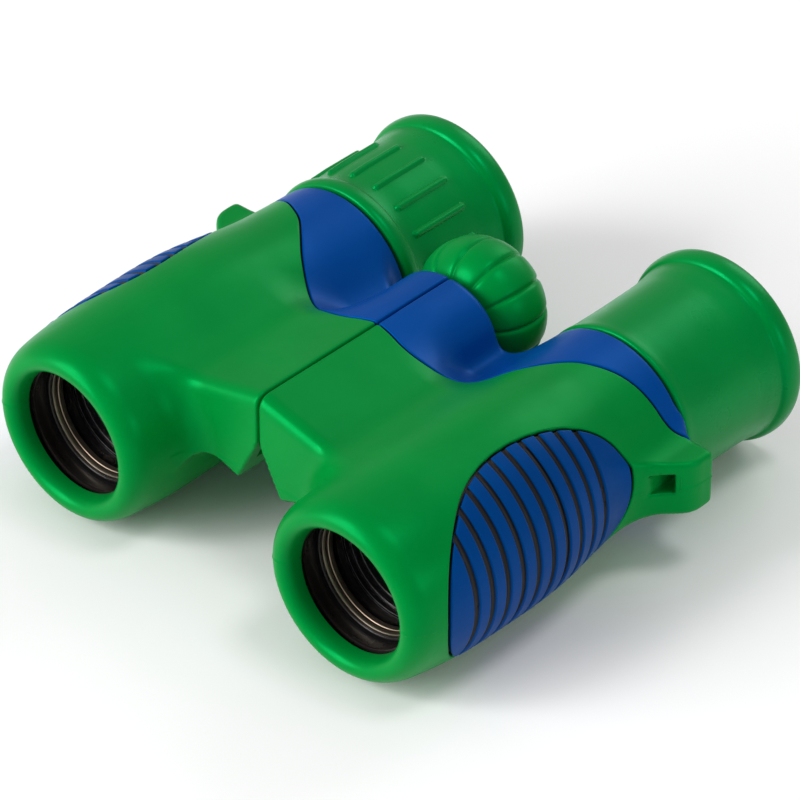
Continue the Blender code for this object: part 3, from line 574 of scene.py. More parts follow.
def fillet(points, segments=5):
    """Outline of (radius, station, corner radius) points with rounded corners."""
    result = []
    count = len(points)
    for i, (r, s, size) in enumerate(points):
        here = np.array((r, s), float)
        before = np.array(points[i - 1][:2], float) - here
        after = np.array(points[(i + 1) % count][:2], float) - here
        if size <= 0:
            result.append(here)
            continue
        la, lb = np.linalg.norm(before), np.linalg.norm(after)
        a, b = before / la, after / lb
        half = math.acos(max(-1.0, min(1.0, float(a @ b)))) / 2
        reach = min(size / math.tan(half), la * 0.48, lb * 0.48)
        start, end = here + a * reach, here + b * reach
        for n in range(segments + 1):
            t = n / segments
            result.append(start * (1 - t) ** 2 + 2 * here * t * (1 - t) + end * t ** 2)
    return np.array(result)


def refine(outline, longest, closed=True):
    """Adds points along an outline so that no side is longer than a length."""
    result = []
    count = len(outline)
    for i in range(count if closed else count - 1):
        a, b = outline[i], outline[(i + 1) % count]
        pieces = max(1, math.ceil(np.linalg.norm(b - a) / longest))
        result += [a + (b - a) * n / pieces for n in range(pieces)]
    if not closed:
        result.append(outline[-1])
    return np.array(result)


def smooth_line(points, spacing=0.35):
    """Smooth line through (radius, station) points."""
    points = np.array(points, float)
    length = np.concatenate([[0.0], np.cumsum(np.linalg.norm(np.diff(points, axis=0), axis=1))])
    at = np.linspace(0.0, length[-1], max(3, int(length[-1] / spacing)))
    return np.stack([curve(np.stack([length, points[:, n]], 1), at) for n in (0, 1)], 1)


def turned(name, outline, steps, x, z, surfaces, shape=None, sharp=35.0, slots=None):
    """Turns an outline of (radius, station) round a barrel or hinge axis. An outline with its first and last
    point on the axis is a solid, any other one is a ring. shape(radius, station, angle) changes the radius."""
    outline = np.asarray(outline, float)
    solid = outline[0, 0] < 1e-6 and outline[-1, 0] < 1e-6
    body = outline[1:-1] if solid else outline
    angles = np.arange(steps) * 2 * math.pi / steps
    r, a = np.meshgrid(body[:, 0], angles, indexing="ij")
    s = np.repeat(body[:, 1][:, None], steps, axis=1)
    if shape:
        r, s = shape(r, s, a)
    verts = np.stack([x + r * np.cos(a), s, z + r * np.sin(a)], -1).reshape(-1, 3)
    rows, count = r.shape
    faces, face_slots = [], []
    for i in range(rows - 1 if solid else rows):
        j = (i + 1) % rows
        for k in range(count):
            n = (k + 1) % count
            faces.append((i * count + k, j * count + k, j * count + n, i * count + n))
            face_slots.append(slots[i] if slots is not None else 0)
    if solid:
        first = len(verts)
        verts = np.concatenate([verts, [(x, outline[0, 1], z), (x, outline[-1, 1], z)]])
        last_row = (rows - 1) * count
        faces += [(first, k, (k + 1) % count) for k in range(count)]
        faces += [(first + 1, last_row + (k + 1) % count, last_row + k) for k in range(count)]
        face_slots += [0] * (2 * count)
    obj = add_object(name, to_world(verts), faces, surfaces, sharp, face_slots)
    fix_normals(obj)
    return obj


def add_turned(name, node, body, slot, outline, surfaces, x=0.0, z=0.0, steps=STEPS, **details):
    """Turns a piece that replaces a CAD node."""
    place(turned(name, outline, steps, x, z, surfaces, **details), body, slot, node)


def barrel_adder(side, prefix, body):
    """Function that adds turned pieces round one barrel's axis."""
    def add(name, node, slot, outline, *surfaces, **details):
        add_turned(prefix + name, prefix + node, body, slot, outline, list(surfaces), side * BARREL_X, **details)
    return add


def fix_normals(obj):
    shape = bmesh.new()
    shape.from_mesh(obj.data)
    bmesh.ops.recalc_face_normals(shape, faces=shape.faces)
    if shape.calc_volume(signed=True) < 0:
        bmesh.ops.reverse_faces(shape, faces=shape.faces)
    shape.to_mesh(obj.data)
    shape.free()


# ------------ materials

class Nodes:
    """Small helper that builds one procedural material."""

    def __init__(self, name):
        self.surface = bpy.data.materials.new(name)
        self.surface.use_nodes = True
        self.tree = self.surface.node_tree
        self.shader = self.tree.nodes["Principled BSDF"]
        self.place = self.add("ShaderNodeTexCoord").outputs["Object"]

    def add(self, kind, **values):
        node = self.tree.nodes.new(kind)
        for key, value in values.items():
            setattr(node, key, value)
        return node

    def link(self, source, target):
        self.tree.links.new(source, target)

    def noise(self, size, detail=3.0, stretch=(1.0, 1.0, 1.0)):
        """Noise whose features are about size metres across."""
        mapping = self.add("ShaderNodeMapping")
        mapping.inputs["Scale"].default_value = stretch
        self.link(self.place, mapping.inputs["Vector"])
        node = self.add("ShaderNodeTexNoise")
        node.inputs["Scale"].default_value = 1.0 / size
        node.inputs["Detail"].default_value = detail
        self.link(mapping.outputs["Vector"], node.inputs["Vector"])
        return node.outputs["Fac"]

    def scale(self, value, low, high, start=0.3, end=0.7):
        node = self.add("ShaderNodeMapRange")
        for key, number in (("From Min", start), ("From Max", end), ("To Min", low), ("To Max", high)):
            node.inputs[key].default_value = number
        self.link(value, node.inputs["Value"])
        return node.outputs["Result"]

    def mix(self, factor, first, second):
        node = self.add("ShaderNodeMix", data_type="RGBA")
        for socket, value in ((node.inputs[0], factor), (node.inputs[6], first), (node.inputs[7], second)):
            if isinstance(value, bpy.types.NodeSocket):
                self.link(value, socket)
            else:
                socket.default_value = value
        return node.outputs[2]

    def bump(self, height, distance, strength=1.0, before=None):
        node = self.add("ShaderNodeBump")
        node.inputs["Strength"].default_value = strength
        node.inputs["Distance"].default_value = distance
        self.link(height, node.inputs["Height"])
        if before:
            self.link(before, node.inputs["Normal"])
        return node.outputs["Normal"]

    def set(self, **values):
        for key, value in values.items():
            socket = self.shader.inputs[key.replace("_", " ")]
            if isinstance(value, bpy.types.NodeSocket):
                self.link(value, socket)
            else:
                socket.default_value = value


def rgb(red, green, blue):
    """Screen colour (0 to 255) as a linear colour."""
    return tuple((c / 255 / 12.92) if c < 10.31 else ((c / 255 + 0.055) / 1.055) ** 2.4
                 for c in (red, green, blue)) + (1.0,)


def tinted(colour, factor):
    return tuple(min(1.0, c * factor) for c in colour[:3]) + (1.0,)


def moulded(name, colour, roughness, grain=0.00022, grain_depth=0.000012, wear=0.18,
            shine=(1.0, 1.0, 1.0, 1.0), level=0.4, lustre=0.0):
    """Moulded plastic or rubber: a fine grain, slow changes of colour and gloss, rubbed edges."""
    n = Nodes(name)
    slow = n.noise(0.016, 3.0)
    fine = n.noise(0.0011, 4.0)
    body = n.mix(n.scale(slow, 0.0, 1.0), tinted(colour, 0.93), tinted(colour, 1.06))
    body = n.mix(n.scale(fine, 0.0, 0.10), body, tinted(colour, 0.8))
    edge = n.add("ShaderNodeAttribute", attribute_name="edge").outputs["Fac"]
    pale = tuple(0.75 * c + 0.1 * s for c, s in zip(colour[:3], shine)) + (1.0,)
    body = n.mix(n.scale(edge, 0.0, wear, 0.0, 1.0), body, pale)
    grainy = n.noise(grain, 2.0)
    normal = n.bump(grainy, grain_depth, 0.55)
    normal = n.bump(n.noise(0.0045, 2.0), 0.00005, 0.25, normal)
    gloss = n.scale(n.noise(0.006, 5.0), roughness - 0.05, roughness + 0.06)
    n.set(Base_Color=body, Roughness=gloss, Normal=normal, Specular_IOR_Level=level, Specular_Tint=shine,
          Metallic=lustre)
    return n.surface


def machined(name, colour, roughness):
    """Turned metal: fine tool marks round the axis, slight stains."""
    n = Nodes(name)
    marks = n.noise(0.0006, 3.0, (0.02, 1.0, 0.02))
    stains = n.noise(0.004, 4.0)
    body = n.mix(n.scale(stains, 0.0, 1.0), tinted(colour, 0.82), tinted(colour, 1.08))
    gloss = n.scale(marks, roughness - 0.08, roughness + 0.12)
    n.set(Base_Color=body, Metallic=1.0, Roughness=gloss, Normal=n.bump(marks, 0.00001, 0.4))
    return n.surface


def coated_glass(name, tint, reflection):
    """Clear glass: light passes nearly unchanged, with a faint coloured reflection and a trace of dust."""
    n = Nodes(name)
    dust = n.scale(n.noise(0.0006, 4.0), 0.0, 0.02, 0.62, 0.8)
    n.set(Base_Color=n.mix(dust, (0.004, 0.004, 0.006, 1.0), (0.5, 0.5, 0.5, 1.0)), Roughness=0.03,
          Specular_IOR_Level=0.5, Specular_Tint=reflection)
    clear = n.add("ShaderNodeBsdfTransparent")
    clear.inputs["Color"].default_value = tint
    facing = n.add("ShaderNodeFresnel")
    facing.inputs["IOR"].default_value = 1.25
    mixed = n.add("ShaderNodeMixShader")
    n.link(n.scale(facing.outputs[0], 0.05, 1.0, 0.0, 1.0), mixed.inputs["Fac"])
    n.link(clear.outputs[0], mixed.inputs[1])
    n.link(n.shader.outputs[0], mixed.inputs[2])
    n.link(mixed.outputs[0], n.tree.nodes["Material Output"].inputs["Surface"])
    return n.surface


GREEN_SHINE = (0.0, 1.0, 0.62, 1.0)
BLUE_SHINE = (0.0, 0.5, 1.0, 1.0)
DYED = {"level": 0.16, "lustre": 0.16}
GREEN = moulded("green_moulded", rgb(0, 132, 51), 0.34, shine=GREEN_SHINE, **DYED)
BLUE = moulded("blue_moulded", rgb(0, 68, 146), 0.36, shine=BLUE_SHINE, **DYED)
PAD_BLUE = moulded("blue_grip_rubber", rgb(0, 60, 128), 0.40, grain=0.0003, grain_depth=0.00002, shine=BLUE_SHINE,
                   **DYED)
WHEEL_GREEN = moulded("green_wheel_rubber", rgb(0, 134, 54), 0.36, grain=0.0003, shine=GREEN_SHINE, **DYED)
CUP_GREEN = moulded("green_eyecup_rubber", rgb(0, 130, 52), 0.31, grain=0.0003, grain_depth=0.00002,
                    shine=GREEN_SHINE, level=0.3, lustre=0.16)
BLACK = moulded("black_plastic_satin", rgb(22, 22, 24), 0.35, wear=0.05)
BLACK_GLOSS = moulded("black_plastic_gloss", rgb(30, 26, 25), 0.24, grain_depth=0.000005, wear=0.02)
# darker, browner metal for the inner wall of the objective's retaining ring than for its front face
DARKER_RING_WALL = machined("darker_ring_wall_metal", rgb(140, 126, 110), 0.4)
# light grey metal for the shoulders of the black baffle steps: painted highlight lines on the black baffles
BAFFLE_PAINTED_HIGHLIGHT = machined("baffle_painted_highlight_grey", rgb(165, 162, 158), 0.38)
# black for the groove floors of the grip pad: painted shade
GROOVE_PAINTED_SHADE = moulded("black_groove_painted_shade", rgb(9, 10, 14), 0.5, wear=0.0)
GREY_METAL = machined("grey_anodised", rgb(158, 148, 134), 0.36)
STEEL = machined("turned_steel", rgb(190, 190, 192), 0.25)
BRASS = machined("turned_brass", rgb(205, 165, 90), 0.28)
WHITE_PLASTIC = moulded("friction_plastic_white", rgb(212, 210, 202), 0.45, wear=0.02)
LENS = coated_glass("coated_lens_glass", (0.95, 0.96, 0.97, 1.0), (0.75, 0.8, 1.0, 1.0))
PRISM = coated_glass("prism_glass", (0.9, 0.94, 0.93, 1.0), (0.85, 0.92, 1.0, 1.0))


# ------------ covers

skin = cover_skin()
for side in (1, -1):
    add_covers(skin, side)


# ------------ optics and eyepieces

# steps inside the objective cell: radius and station
BAFFLES = ((9.95, 14.6), (9.6, 15.6), (9.25, 16.7), (8.9, 17.9), (8.55, 19.2), (8.2, 20.6), (7.85, 22.2))


def add_objective(side):
    prefix = "left_" if side > 0 else "right_"
    add = barrel_adder(side, prefix, prefix + "objective")
    front, rear = span(prefix + "objective_cell")
    radius = node_radius(prefix + "objective_cell")
    ring_front, ring_rear = span(prefix + "objective_ring")
    ring_radius = node_radius(prefix + "objective_ring")
    lens_rear = span(prefix + "objective_lens")[1]
    seat = ring_radius + 0.06
    cell = [(radius, front, 0.25), (radius, rear, 0.3), (9.3, rear, 0.3), (9.3, rear - 3.0, 0.2),
            (7.5, rear - 3.6, 0.1), (7.5, BAFFLES[-1][1] + 0.6, 0.1)]
    for (step_radius, at), (next_radius, _) in zip(BAFFLES[::-1], BAFFLES[-2::-1] + ((seat, 0.0),)):
        cell += [(step_radius, at + 0.03, 0.04), (step_radius + 0.14, at, 0.04), (next_radius, at + 0.1, 0.05)]
    cell += [(seat, front, 0.2)]
    outline = fillet(cell, 4)
    ahead = np.roll(outline, -1, axis=0) - outline
    # shoulders of the baffle steps take the light grey metal, painted highlight lines on the black baffles
    edge = (np.abs(ahead[:, 0]) > 2 * np.abs(ahead[:, 1])) & (outline[:, 1] > lens_rear) & (ahead[:, 0] < 0.3)
    add("objective_barrel", "objective_cell", "black_plastic", outline, BLACK_GLOSS, BAFFLE_PAINTED_HIGHLIGHT,
        slots=(edge & (outline[:, 1] < BAFFLES[-1][1] + 0.3)).astype(int))
    ring = [(ring_radius, ring_front, 0.1), (ring_radius, ring_rear, 0.1), (ring_radius - 0.75, ring_rear, 0.08),
            (ring_radius - 0.62, ring_front + 0.95, 0.05), (ring_radius - 0.5, ring_front + 0.9, 0.05),
            (ring_radius - 0.42, ring_front + 0.28, 0.06), (ring_radius - 0.3, ring_front, 0.06)]
    outline = fillet(ring, 3)
    # the ring's inner wall takes the darker, browner metal
    wall = (outline[:, 0] < ring_radius - 0.35) & (outline[:, 1] > ring_front + 0.2)
    add("objective_retaining_ring", "objective_ring", "aluminium", outline, GREY_METAL, DARKER_RING_WALL,
        slots=wall.astype(int))
    add("coated_objective_lens", "objective_lens", "lens_glass", lens_outline(prefix + "objective_lens", 1.0, 0.9),
        LENS, sharp=30.0)


def lens_outline(node, front_bulge, rear_bulge):
    """Half section of a lens from its front pole to its rear pole."""
    radius, (front, rear) = node_radius(node), span(node)
    rows = np.linspace(0.0, 1.0, 15)
    edge_front, edge_rear = front + front_bulge, rear - rear_bulge
    first = [(radius * t, front + front_bulge * t * t) for t in rows]
    last = [(radius * t, rear - rear_bulge * t * t) for t in rows[::-1]]
    first[-1] = (radius - 0.15, edge_front)
    last[0] = (radius - 0.15, edge_rear)
    return np.array(first + [(radius, edge_front + 0.15), (radius, edge_rear - 0.15)] + last)


def add_eyepiece(side):
    prefix, body = ("left_", "left_half") if side > 0 else ("right_", "right_eyepiece")
    add = barrel_adder(side, prefix, body)
    front, rear = span(prefix + "eyepiece_tube")
    ring_front, ring_rear = span(prefix + "eyepiece_ring")
    lens_front = span(prefix + "eye_lens")[0]
    lens_radius = node_radius(prefix + "eye_lens")
    tube = [(11.9, front, 0.25), (11.9, 65.9, 0.1), (12.6, 65.9, 0.15), (12.6, rear - 1.9, 0.5),
            (11.6, rear - 0.3, 0.5), (11.2, rear, 0.3), (10.35, rear, 0.3), (10.2, ring_rear - 0.1, 0.1),
            (lens_radius + 0.05, ring_rear - 0.3, 0.05), (lens_radius + 0.05, lens_front + 1.15, 0.05),
            (9.2, lens_front + 1.15, 0.1), (9.2, 75.0, 0.1), (10.35, 74.4, 0.1), (10.35, front, 0.2)]
    add("eyepiece_barrel", "eyepiece_tube", "black_plastic", fillet(tube, 4), BLACK)
    ring = [(lens_radius, ring_front, 0.1), (lens_radius, ring_rear, 0.15), (9.3, ring_rear, 0.3),
            (8.9, ring_rear - 0.8, 0.1), (9.3, ring_front, 0.1)]
    add("eyepiece_retaining_ring", "eyepiece_ring", "black_plastic", fillet(ring, 3), BLACK)
    add("coated_eye_lens", "eye_lens", "lens_glass", lens_outline(prefix + "eye_lens", 1.2, 1.1), LENS, sharp=30.0)


RIBS = 18
RIB_HALF = 0.58
RIB_HEIGHT = 0.6
RIB_SPAN = (70.6, 82.5)
RIB_FOOT = 14.7  # only points farther out than this belong to the ribbed outside


def ribbed(r, s, a):
    """Raises the dioptre eyecup's ribs, each with rounded ends."""
    pitch = 2 * math.pi / RIBS
    across = (np.mod(a + pitch / 2, pitch) - pitch / 2) * r
    inner = np.clip(s, RIB_SPAN[0] + RIB_HALF, RIB_SPAN[1] - RIB_HALF)
    away = np.hypot(across, s - inner) / RIB_HALF
    rise = RIB_HEIGHT * np.sqrt(np.clip(1.0 - away ** 2, 0.0, 1.0)) * smooth_step((1.35 - away) / 0.5)
    return np.where(r > RIB_FOOT, r + rise, r), s


def add_eyecup(side):
    prefix, body = ("left_", "left_half") if side > 0 else ("right_", "dioptre")
    front = span(prefix + "eyecup")[0]
    rim = [(15.0, 84.0), (15.2, 86.0), (15.42, 87.9), (15.52, 88.35), (15.72, 88.45), (16.05, 88.75), (16.35, 89.4),
           (16.48, 90.3), (16.42, 91.2), (16.1, 92.1), (15.5, 92.6), (14.8, 92.6), (14.2, 92.1), (13.8, 91.0),
           (13.5, 89.5), (13.25, 87.8), (13.0, 85.4)]
    if side > 0:
        outer = [(14.6, front), (14.9, front + 0.1), (15.08, front + 0.35), (15.1, front + 0.8), (15.0, 67.5),
                 (14.92, 70.0), (14.88, 74.0), (14.9, 78.5), (14.94, 82.0)]
        tail = [(12.95, 83.4), (12.9, 80.0), (12.9, front)]
    else:
        outer = [(15.0, front), (15.25, front + 0.12), (15.42, front + 0.4), (15.42, 68.1), (15.34, 68.35),
                 (15.08, 68.55), (15.0, 69.0), (15.0, 75.0), (15.0, 81.0)]
        tail = [(13.0, 83.9), (13.9, 83.4), (13.9, front)]
    outline = np.concatenate([smooth_line(outer + rim, 0.25), refine(np.array(tail, float), 1.5, closed=False)])
    steps, shape, kind = (STEPS, None, "plain") if side > 0 else (540, ribbed, "ribbed")
    barrel_adder(side, prefix, body)(kind + "_eyecup", "eyecup", "eyecup_rubber", outline, CUP_GREEN,
                                     steps=steps, shape=shape, sharp=50.0)


WHEEL_GROOVES = 12
WHEEL_TURN = math.radians(8.0)
WHEEL_GROOVE_DEPTH = 0.55
WHEEL_GROOVE_HALF = 0.42
WHEEL_POWER = 2.25
WHEEL_FLAT = 3.4  # radius of the flat faces round the screw
WHEEL_ROUND = (5.0, 2.5)  # radius where grooves begin, and over how much they deepen


def add_wheel():
    front, rear = span("focus_wheel")
    radius = node_radius("focus_wheel")
    middle, half = (front + rear) / 2, (rear - front) / 2
    turn = np.linspace(0.0, math.pi, 60)
    outline = []
    for t in turn:
        c, s = -math.cos(t), math.sin(t)
        along = math.copysign(abs(c) ** (2 / WHEEL_POWER), c)
        out = abs(s) ** (2 / WHEEL_POWER)
        outline.append((WHEEL_FLAT + (radius - WHEEL_FLAT) * out, middle + half * along))
    recess = [(WHEEL_FLAT, rear - 0.1), (3.2, rear - 1.2), (2.0, rear - 1.4), (2.05, front + 0.5)]
    outline = np.concatenate([np.array(outline), refine(np.array(recess), 1.0, closed=False)])

    def grooved(r, s, a):
        pitch = 2 * math.pi / WHEEL_GROOVES
        across = (np.mod(a - WHEEL_TURN + pitch / 2, pitch) - pitch / 2) * r
        side_fade = smooth_step((half - np.abs(s - middle)) / 1.1)
        dip = WHEEL_GROOVE_DEPTH / (1.0 + (across / WHEEL_GROOVE_HALF) ** 2) ** 1.5
        outside = smooth_step((r - WHEEL_ROUND[0]) / WHEEL_ROUND[1])
        line = 0.07 * np.exp(-((s - middle - half * 0.78) / 0.12) ** 2)
        return r - dip * outside * side_fade + line * outside, s

    add_turned("grooved_focus_wheel", "focus_wheel", "focus_drive", "wheel_rubber", outline, [WHEEL_GREEN],
               z=HINGE_Z, steps=448, shape=grooved, sharp=50.0)


for side in (1, -1):
    add_objective(side)
    add_eyepiece(side)
    add_eyecup(side)
add_wheel()


# ------------ hinge and focus hardware

THREAD_LEAD = 2.4        # travel of the carriage in one turn of the wheel
THREAD_STARTS = 2
THREAD_DEPTH = 0.28
THREAD_CORE = 1.65       # only points farther out than this are cut
THREAD_END = 57.0
NUT_NOTCHES = 4
NOTCH = (3.9, 0.85, 0.55)  # smallest radius that is cut, half width, depth
CROSS = (0.42, 1.6, 0.8)   # half width, reach, depth


def threaded(r, s, a):
    """Left-handed thread: turning the wheel about +Y drives the carriage to the rear."""
    phase = THREAD_STARTS * (a / (2 * math.pi) - s / THREAD_LEAD)
    wave = np.abs(np.mod(phase, 1.0) - 0.5) * 2
    return np.where(r > THREAD_CORE, r - THREAD_DEPTH * smooth_step((wave - 0.15) / 0.7), r), s


def notched(r, s, a):
    """Spanner notches in the rim of the tension nut."""
    pitch = 2 * math.pi / NUT_NOTCHES
    across = np.abs(np.mod(a + pitch / 2, pitch) - pitch / 2) * r
    return np.where(r > NOTCH[0], r - NOTCH[2] * smooth_step((NOTCH[1] - across) / 0.25), r), s


def cross_recess(r, s, a, rear):
    """Cross recess in the screw head."""
    off = np.minimum(np.abs(r * np.cos(a)), np.abs(r * np.sin(a)))
    dip = smooth_step((CROSS[0] - off) / 0.14) * smooth_step((CROSS[1] - r) / 0.25)
    return r, np.where(s > rear - 0.3, s - CROSS[2] * dip, s)


def add_hardware():
    def add(name, node, body, slot, surface, outline, shape=None, steps=96):
        add_turned(name, node, body, slot, outline, [surface], z=HINGE_Z, steps=steps, shape=shape, sharp=32.0)

    def ring(node, inner, corner, longest=None):
        first, last = span(node)
        outer = node_radius(node)
        outline = fillet([(inner, first, corner), (outer, first, corner), (outer, last, corner),
                          (inner, last, corner)], 3)
        return refine(outline, longest) if longest else outline

    first, last = span("hinge_pin")
    head = node_radius("hinge_pin")
    pin = [(0.0, first, 0), (1.3, first, 0.6), (head, first + 0.25, 0.2), (head, first + 0.7, 0.1),
           (1.5, first + 0.7, 0.1), (1.5, last - 1.02, 0.03), (1.38, last - 1.0, 0.03), (1.38, last - 0.5, 0.03),
           (1.5, last - 0.48, 0.03), (1.5, last, 0.25), (0.0, last, 0)]
    add("domed_hinge_pin", "hinge_pin", "left_half", "steel", STEEL, fillet(pin, 4))
    for name, node, slot, surface, inner, corner in (
            ("hinge_pin_circlip", "hinge_pin_clip", "steel", STEEL, 1.4, 0.12),
            ("front_friction_washer", "hinge_front_washer", "friction_plastic", WHITE_PLASTIC, 1.6, 0.08),
            ("rear_friction_washer", "hinge_rear_washer", "friction_plastic", WHITE_PLASTIC, 3.1, 0.08),
            ("hinge_sleeve_tube", "hinge_sleeve", "steel", STEEL, 2.2, 0.15)):
        add(name, node, "left_half", slot, surface, ring(node, inner, corner))
    add("notched_tension_nut", "hinge_tension_nut", "left_half", "brass", BRASS,
        ring("hinge_tension_nut", 3.05, 0.2, 0.5), notched, 144)

    first, last = span("focus_screw")
    radius = node_radius("focus_screw")
    screw = np.array([(0.0, first), (radius - 0.4, first), (radius, first + 0.4), (radius, THREAD_END - 0.6),
                      (radius - 0.29, THREAD_END), (radius - 0.29, last - 0.3), (radius - 0.4, last),
                      (1.3, last), (1.3, 65.0), (0.0, 65.0)])
    body = refine(screw[1:-1], 0.12, closed=False)
    outline = np.concatenate([screw[:1], body, screw[-1:]])

    def thread_in_front(r, s, a):
        cut, _ = threaded(r, s, a)
        return np.where((s < THREAD_END) & (s > first + 0.1), cut, r), s

    add("threaded_focus_screw", "focus_screw", "focus_drive", "brass", BRASS, outline, thread_in_front, 72)

    first, last = span("focus_carriage")
    flange = node_radius("focus_carriage")
    bore = radius + 0.08
    carriage = [(bore, first, 0.15), (flange, first, 0.25), (flange, first + 1.2, 0.25), (3.2, first + 1.2, 0.2),
                (3.2, first + 3.3, 0.2), (flange, first + 3.3, 0.25), (flange, first + 4.5, 0.25),
                (3.4, first + 4.5, 0.3), (3.4, last, 0.3), (bore, last, 0.15)]
    add("flanged_focus_carriage", "focus_carriage", "carriage", "black_plastic", BLACK, fillet(carriage, 4))

    first, last = span("wheel_screw")
    head = node_radius("wheel_screw")
    screw = [(0.0, first, 0), (1.2, first, 0.3), (1.2, last - 1.2, 0.1), (head, last - 1.2, 0.15),
             (head, last - 0.25, 0.3), (1.9, last, 0.5), (0.05, last, 0)]
    outline = fillet(screw, 5)
    outline = np.concatenate([outline[:1], refine(outline[1:], 0.1, closed=False), [(0.0, last - 0.8)]])
    add("cross_head_wheel_screw", "wheel_screw", "focus_drive", "steel", STEEL, outline,
        lambda r, s, a: cross_recess(r, s, a, last), 96)


add_hardware()


# ------------ housings inside the covers

HOUSING_INSET = 1.1
HOUSING_SPAN = (6.8, 64.4)
HOUSING_BOX = ((-5.4, 5.6, -17.4), (47.4, 65.6, 16.4))
OBJECTIVE_BORE = 11.3
HOUSING_BORES = ((OBJECTIVE_BORE, 0.0, 36.4), (12.5, 36.4, 57.0), (12.03, 57.0, 70.0))
KNUCKLE_RADIUS = 4.4
# knuckles: first and last station, radius of the hole
LEFT_KNUCKLES = ((19.0, 22.5, 1.62), (42.0, 46.0, 3.08))
RIGHT_KNUCKLES = ((23.0, 26.7, 1.62), (46.5, 50.5, 3.08))
ARM_WINDOW = ((2.0, 29.6, 4.2), (24.0, 35.2, 8.4))  # room for the focus arm: two corners


def housing_field(knuckles):
    def field(x, s, z):
        result = smooth_max(body_field(x, s, z) + HOUSING_INSET, HOUSING_SPAN[0] - s, 0.6)
        result = smooth_max(result, s - HOUSING_SPAN[1], 0.4)
        off_barrel = np.hypot(x - BARREL_X, z)
        for radius, first, last in HOUSING_BORES:
            result = np.maximum(result, -highest(off_barrel - radius, first - s, s - last))
        off_hinge = np.hypot(x, z - HINGE_Z)
        room = highest(off_hinge - HINGE_ROOM - 0.05, ROOM_SPAN[0] - s, s - ROOM_SPAN[1])
        result = smooth_max(result, -room, 0.4)
        arm = highest(*(low - value for value, low in zip((x, s, z), ARM_WINDOW[0])),
                      *(value - high for value, high in zip((x, s, z), ARM_WINDOW[1])))
        result = np.maximum(result, -arm)
        for first, last, hole in knuckles:
            middle, half = (first + last) / 2, (last - first) / 2
            lug = np.minimum(off_hinge - KNUCKLE_RADIUS, highest(-x, x - 7.5, np.abs(z - HINGE_Z) - 2.6))
            lug = smooth_max(lug, np.abs(s - middle) - half, 0.3)
            lug = smooth_max(lug, hole - off_hinge, 0.2)
            result = np.minimum(result, lug)
        screw = np.maximum(off_hinge - SCREW_ROOM, SCREW_FIRST - 1.0 - s)
        pin = np.maximum(off_hinge - SCREW_ROOM, s - LEFT_KNUCKLES[0][0])
        return np.maximum(result, -np.minimum(screw, pin))
    return field


def add_housing(side):
    prefix, body = ("left_", "left_half") if side > 0 else ("right_", "right_half")
    field = housing_field(LEFT_KNUCKLES if side > 0 else RIGHT_KNUCKLES)
    step = 0.6
    verts, tris = surface_net(field, *HOUSING_BOX, step)
    verts = settle(field, verts, 2, 0.2)
    core = add_half_mesh(prefix + "housing_core", verts, tris, side, [BLACK], sharp=35.0)
    rings = [(12.1, HOUSING_SPAN[0], 0.1), (12.1, 9.6, 0.1), (OBJECTIVE_BORE - 0.02, 9.6, 0.1)]
    rings += [(OBJECTIVE_BORE - 0.02, 7.6, 0.06), (OBJECTIVE_BORE - 0.22, 7.45, 0.05),
              (OBJECTIVE_BORE - 0.25, 7.25, 0.06), (OBJECTIVE_BORE - 0.28, HOUSING_SPAN[0], 0.1)]
    thread = turned(prefix + "bore_thread", fillet(rings, 2), STEPS, side * BARREL_X, 0, [BLACK_GLOSS])
    place(join(core, thread), body, "black_plastic", prefix + "housing")


def join(first, second):
    """Adds the second object's mesh to the first one's and removes the second object."""
    shape = bmesh.new()
    shape.from_mesh(first.data)
    count = len(shape.faces)
    shape.from_mesh(second.data)
    offset = len(first.data.materials)
    shape.faces.ensure_lookup_table()
    for face in shape.faces[count:]:
        face.material_index += offset
    for surface in second.data.materials:
        first.data.materials.append(surface)
    shape.to_mesh(first.data)
    shape.free()
    bpy.data.objects.remove(second)
    return first


for side in (1, -1):
    add_housing(side)


# ------------ CAD nodes that stay, with their materials

SLOT_SURFACE = {"black_plastic": BLACK, "steel": STEEL, "brass": BRASS, "aluminium": GREY_METAL, "lens_glass": LENS,
                "prism_glass": PRISM, "friction_plastic": WHITE_PLASTIC, "green_cover": GREEN, "blue_cover": BLUE,
                "grip_rubber": PAD_BLUE, "eyecup_rubber": CUP_GREEN, "wheel_rubber": WHEEL_GREEN}
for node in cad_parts.values():
    for slot in node.material_slots:
        slot.material = SLOT_SURFACE[slot.material.name.split(".")[0]]


# ------------ floor, light, camera

FLOOR_SIZE = 3.0
ROOM_LIGHT = 0.42  # strength of the white room as a light
ROOM_SEEN = 0.92   # and as the camera sees it
LIGHTS = (  # name, place, diameter, power
    ("key", (-0.5, -0.95, 0.42), 0.8, 11.5),
    ("front", (-0.45, -0.8, 0.75), 0.3, 2.4),
    ("crest", (0.33, 0.1, 1.0), 0.3, 1.9),
    ("side", (0.93, 0.1, 0.32), 0.35, 1.0),
    ("back", (-0.1, 0.8, 0.55), 0.6, 2.0),
)
CAMERA_LENS = 225.1
CAMERA_PLACE = (0.4311, -0.4681, 0.4787)
CAMERA_LOOK = (-0.5467, 0.5955, -0.5887)  # direction of view


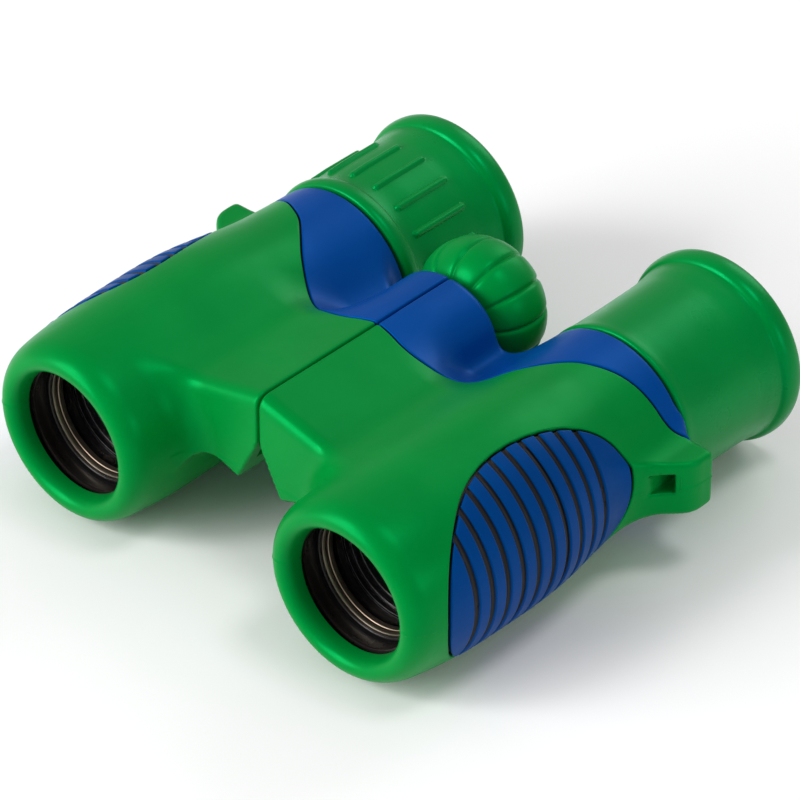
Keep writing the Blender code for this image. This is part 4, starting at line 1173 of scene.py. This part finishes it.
def add_stage():
    """White floor. It keeps under the right barrel, which is the lower one once the halves fold."""
    corners = [(x * FLOOR_SIZE, y * FLOOR_SIZE, 0) for x, y in ((-1, -1), (1, -1), (1, 1), (-1, 1))]
    mesh = bpy.data.meshes.new("studio_floor")
    mesh.from_pydata(corners, [], [(0, 1, 2, 3)])
    floor = new_object("studio_floor", mesh)
    n = Nodes("white_floor")
    shade = n.mix(n.scale(n.noise(0.05, 2.0), 0.0, 1.0), (0.955, 0.955, 0.955, 1), (0.965, 0.965, 0.965, 1))
    n.set(Base_Color=shade, Roughness=0.9, Specular_IOR_Level=0.1)
    mesh.materials.append(n.surface)
    guide = new_object("lower_barrel", None)
    guide.location = (-BARREL_X * MM, 0.0, BARREL_Z * MM)
    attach(guide, "right_half")
    follow = floor.constraints.new("COPY_LOCATION")
    follow.target = guide
    follow.use_x = follow.use_y = False
    follow.use_offset = True
    floor.location.z = -BARREL_Z * MM


def add_light(name, place_at, size, power, target=(0.0, 0.0, 0.02)):
    lamp = bpy.data.lights.new(name, "AREA")
    lamp.shape = "DISK"
    lamp.size = size
    lamp.energy = power
    obj = new_object(name, lamp)
    obj.location = place_at
    obj.rotation_euler = (Vector(place_at) - Vector(target)).to_track_quat("Z", "Y").to_euler()


def add_world():
    """Even white room: bright behind the piece, dimmer as a light."""
    world = bpy.data.worlds.new("studio")
    world.use_nodes = True
    tree = world.node_tree
    room = tree.nodes["Background"].inputs
    room["Color"].default_value = (1.0, 1.0, 1.0, 1.0)
    seen = tree.nodes.new("ShaderNodeLightPath")
    strength = tree.nodes.new("ShaderNodeMapRange")
    strength.inputs["To Min"].default_value = ROOM_LIGHT
    strength.inputs["To Max"].default_value = ROOM_SEEN
    tree.links.new(seen.outputs["Is Camera Ray"], strength.inputs["Value"])
    tree.links.new(strength.outputs["Result"], room["Strength"])
    bpy.context.scene.world = world


add_stage()
add_world()
for light in LIGHTS:
    add_light(*light)

camera_data = bpy.data.cameras.new("camera")
camera_data.sensor_width = 36.0
camera_data.lens = CAMERA_LENS
camera = new_object("camera", camera_data)
camera.location = CAMERA_PLACE
camera.rotation_euler = Vector(CAMERA_LOOK).to_track_quat("-Z", "Y").to_euler()
bpy.context.scene.camera = camera
bpy.context.scene.view_settings.view_transform = "Standard"
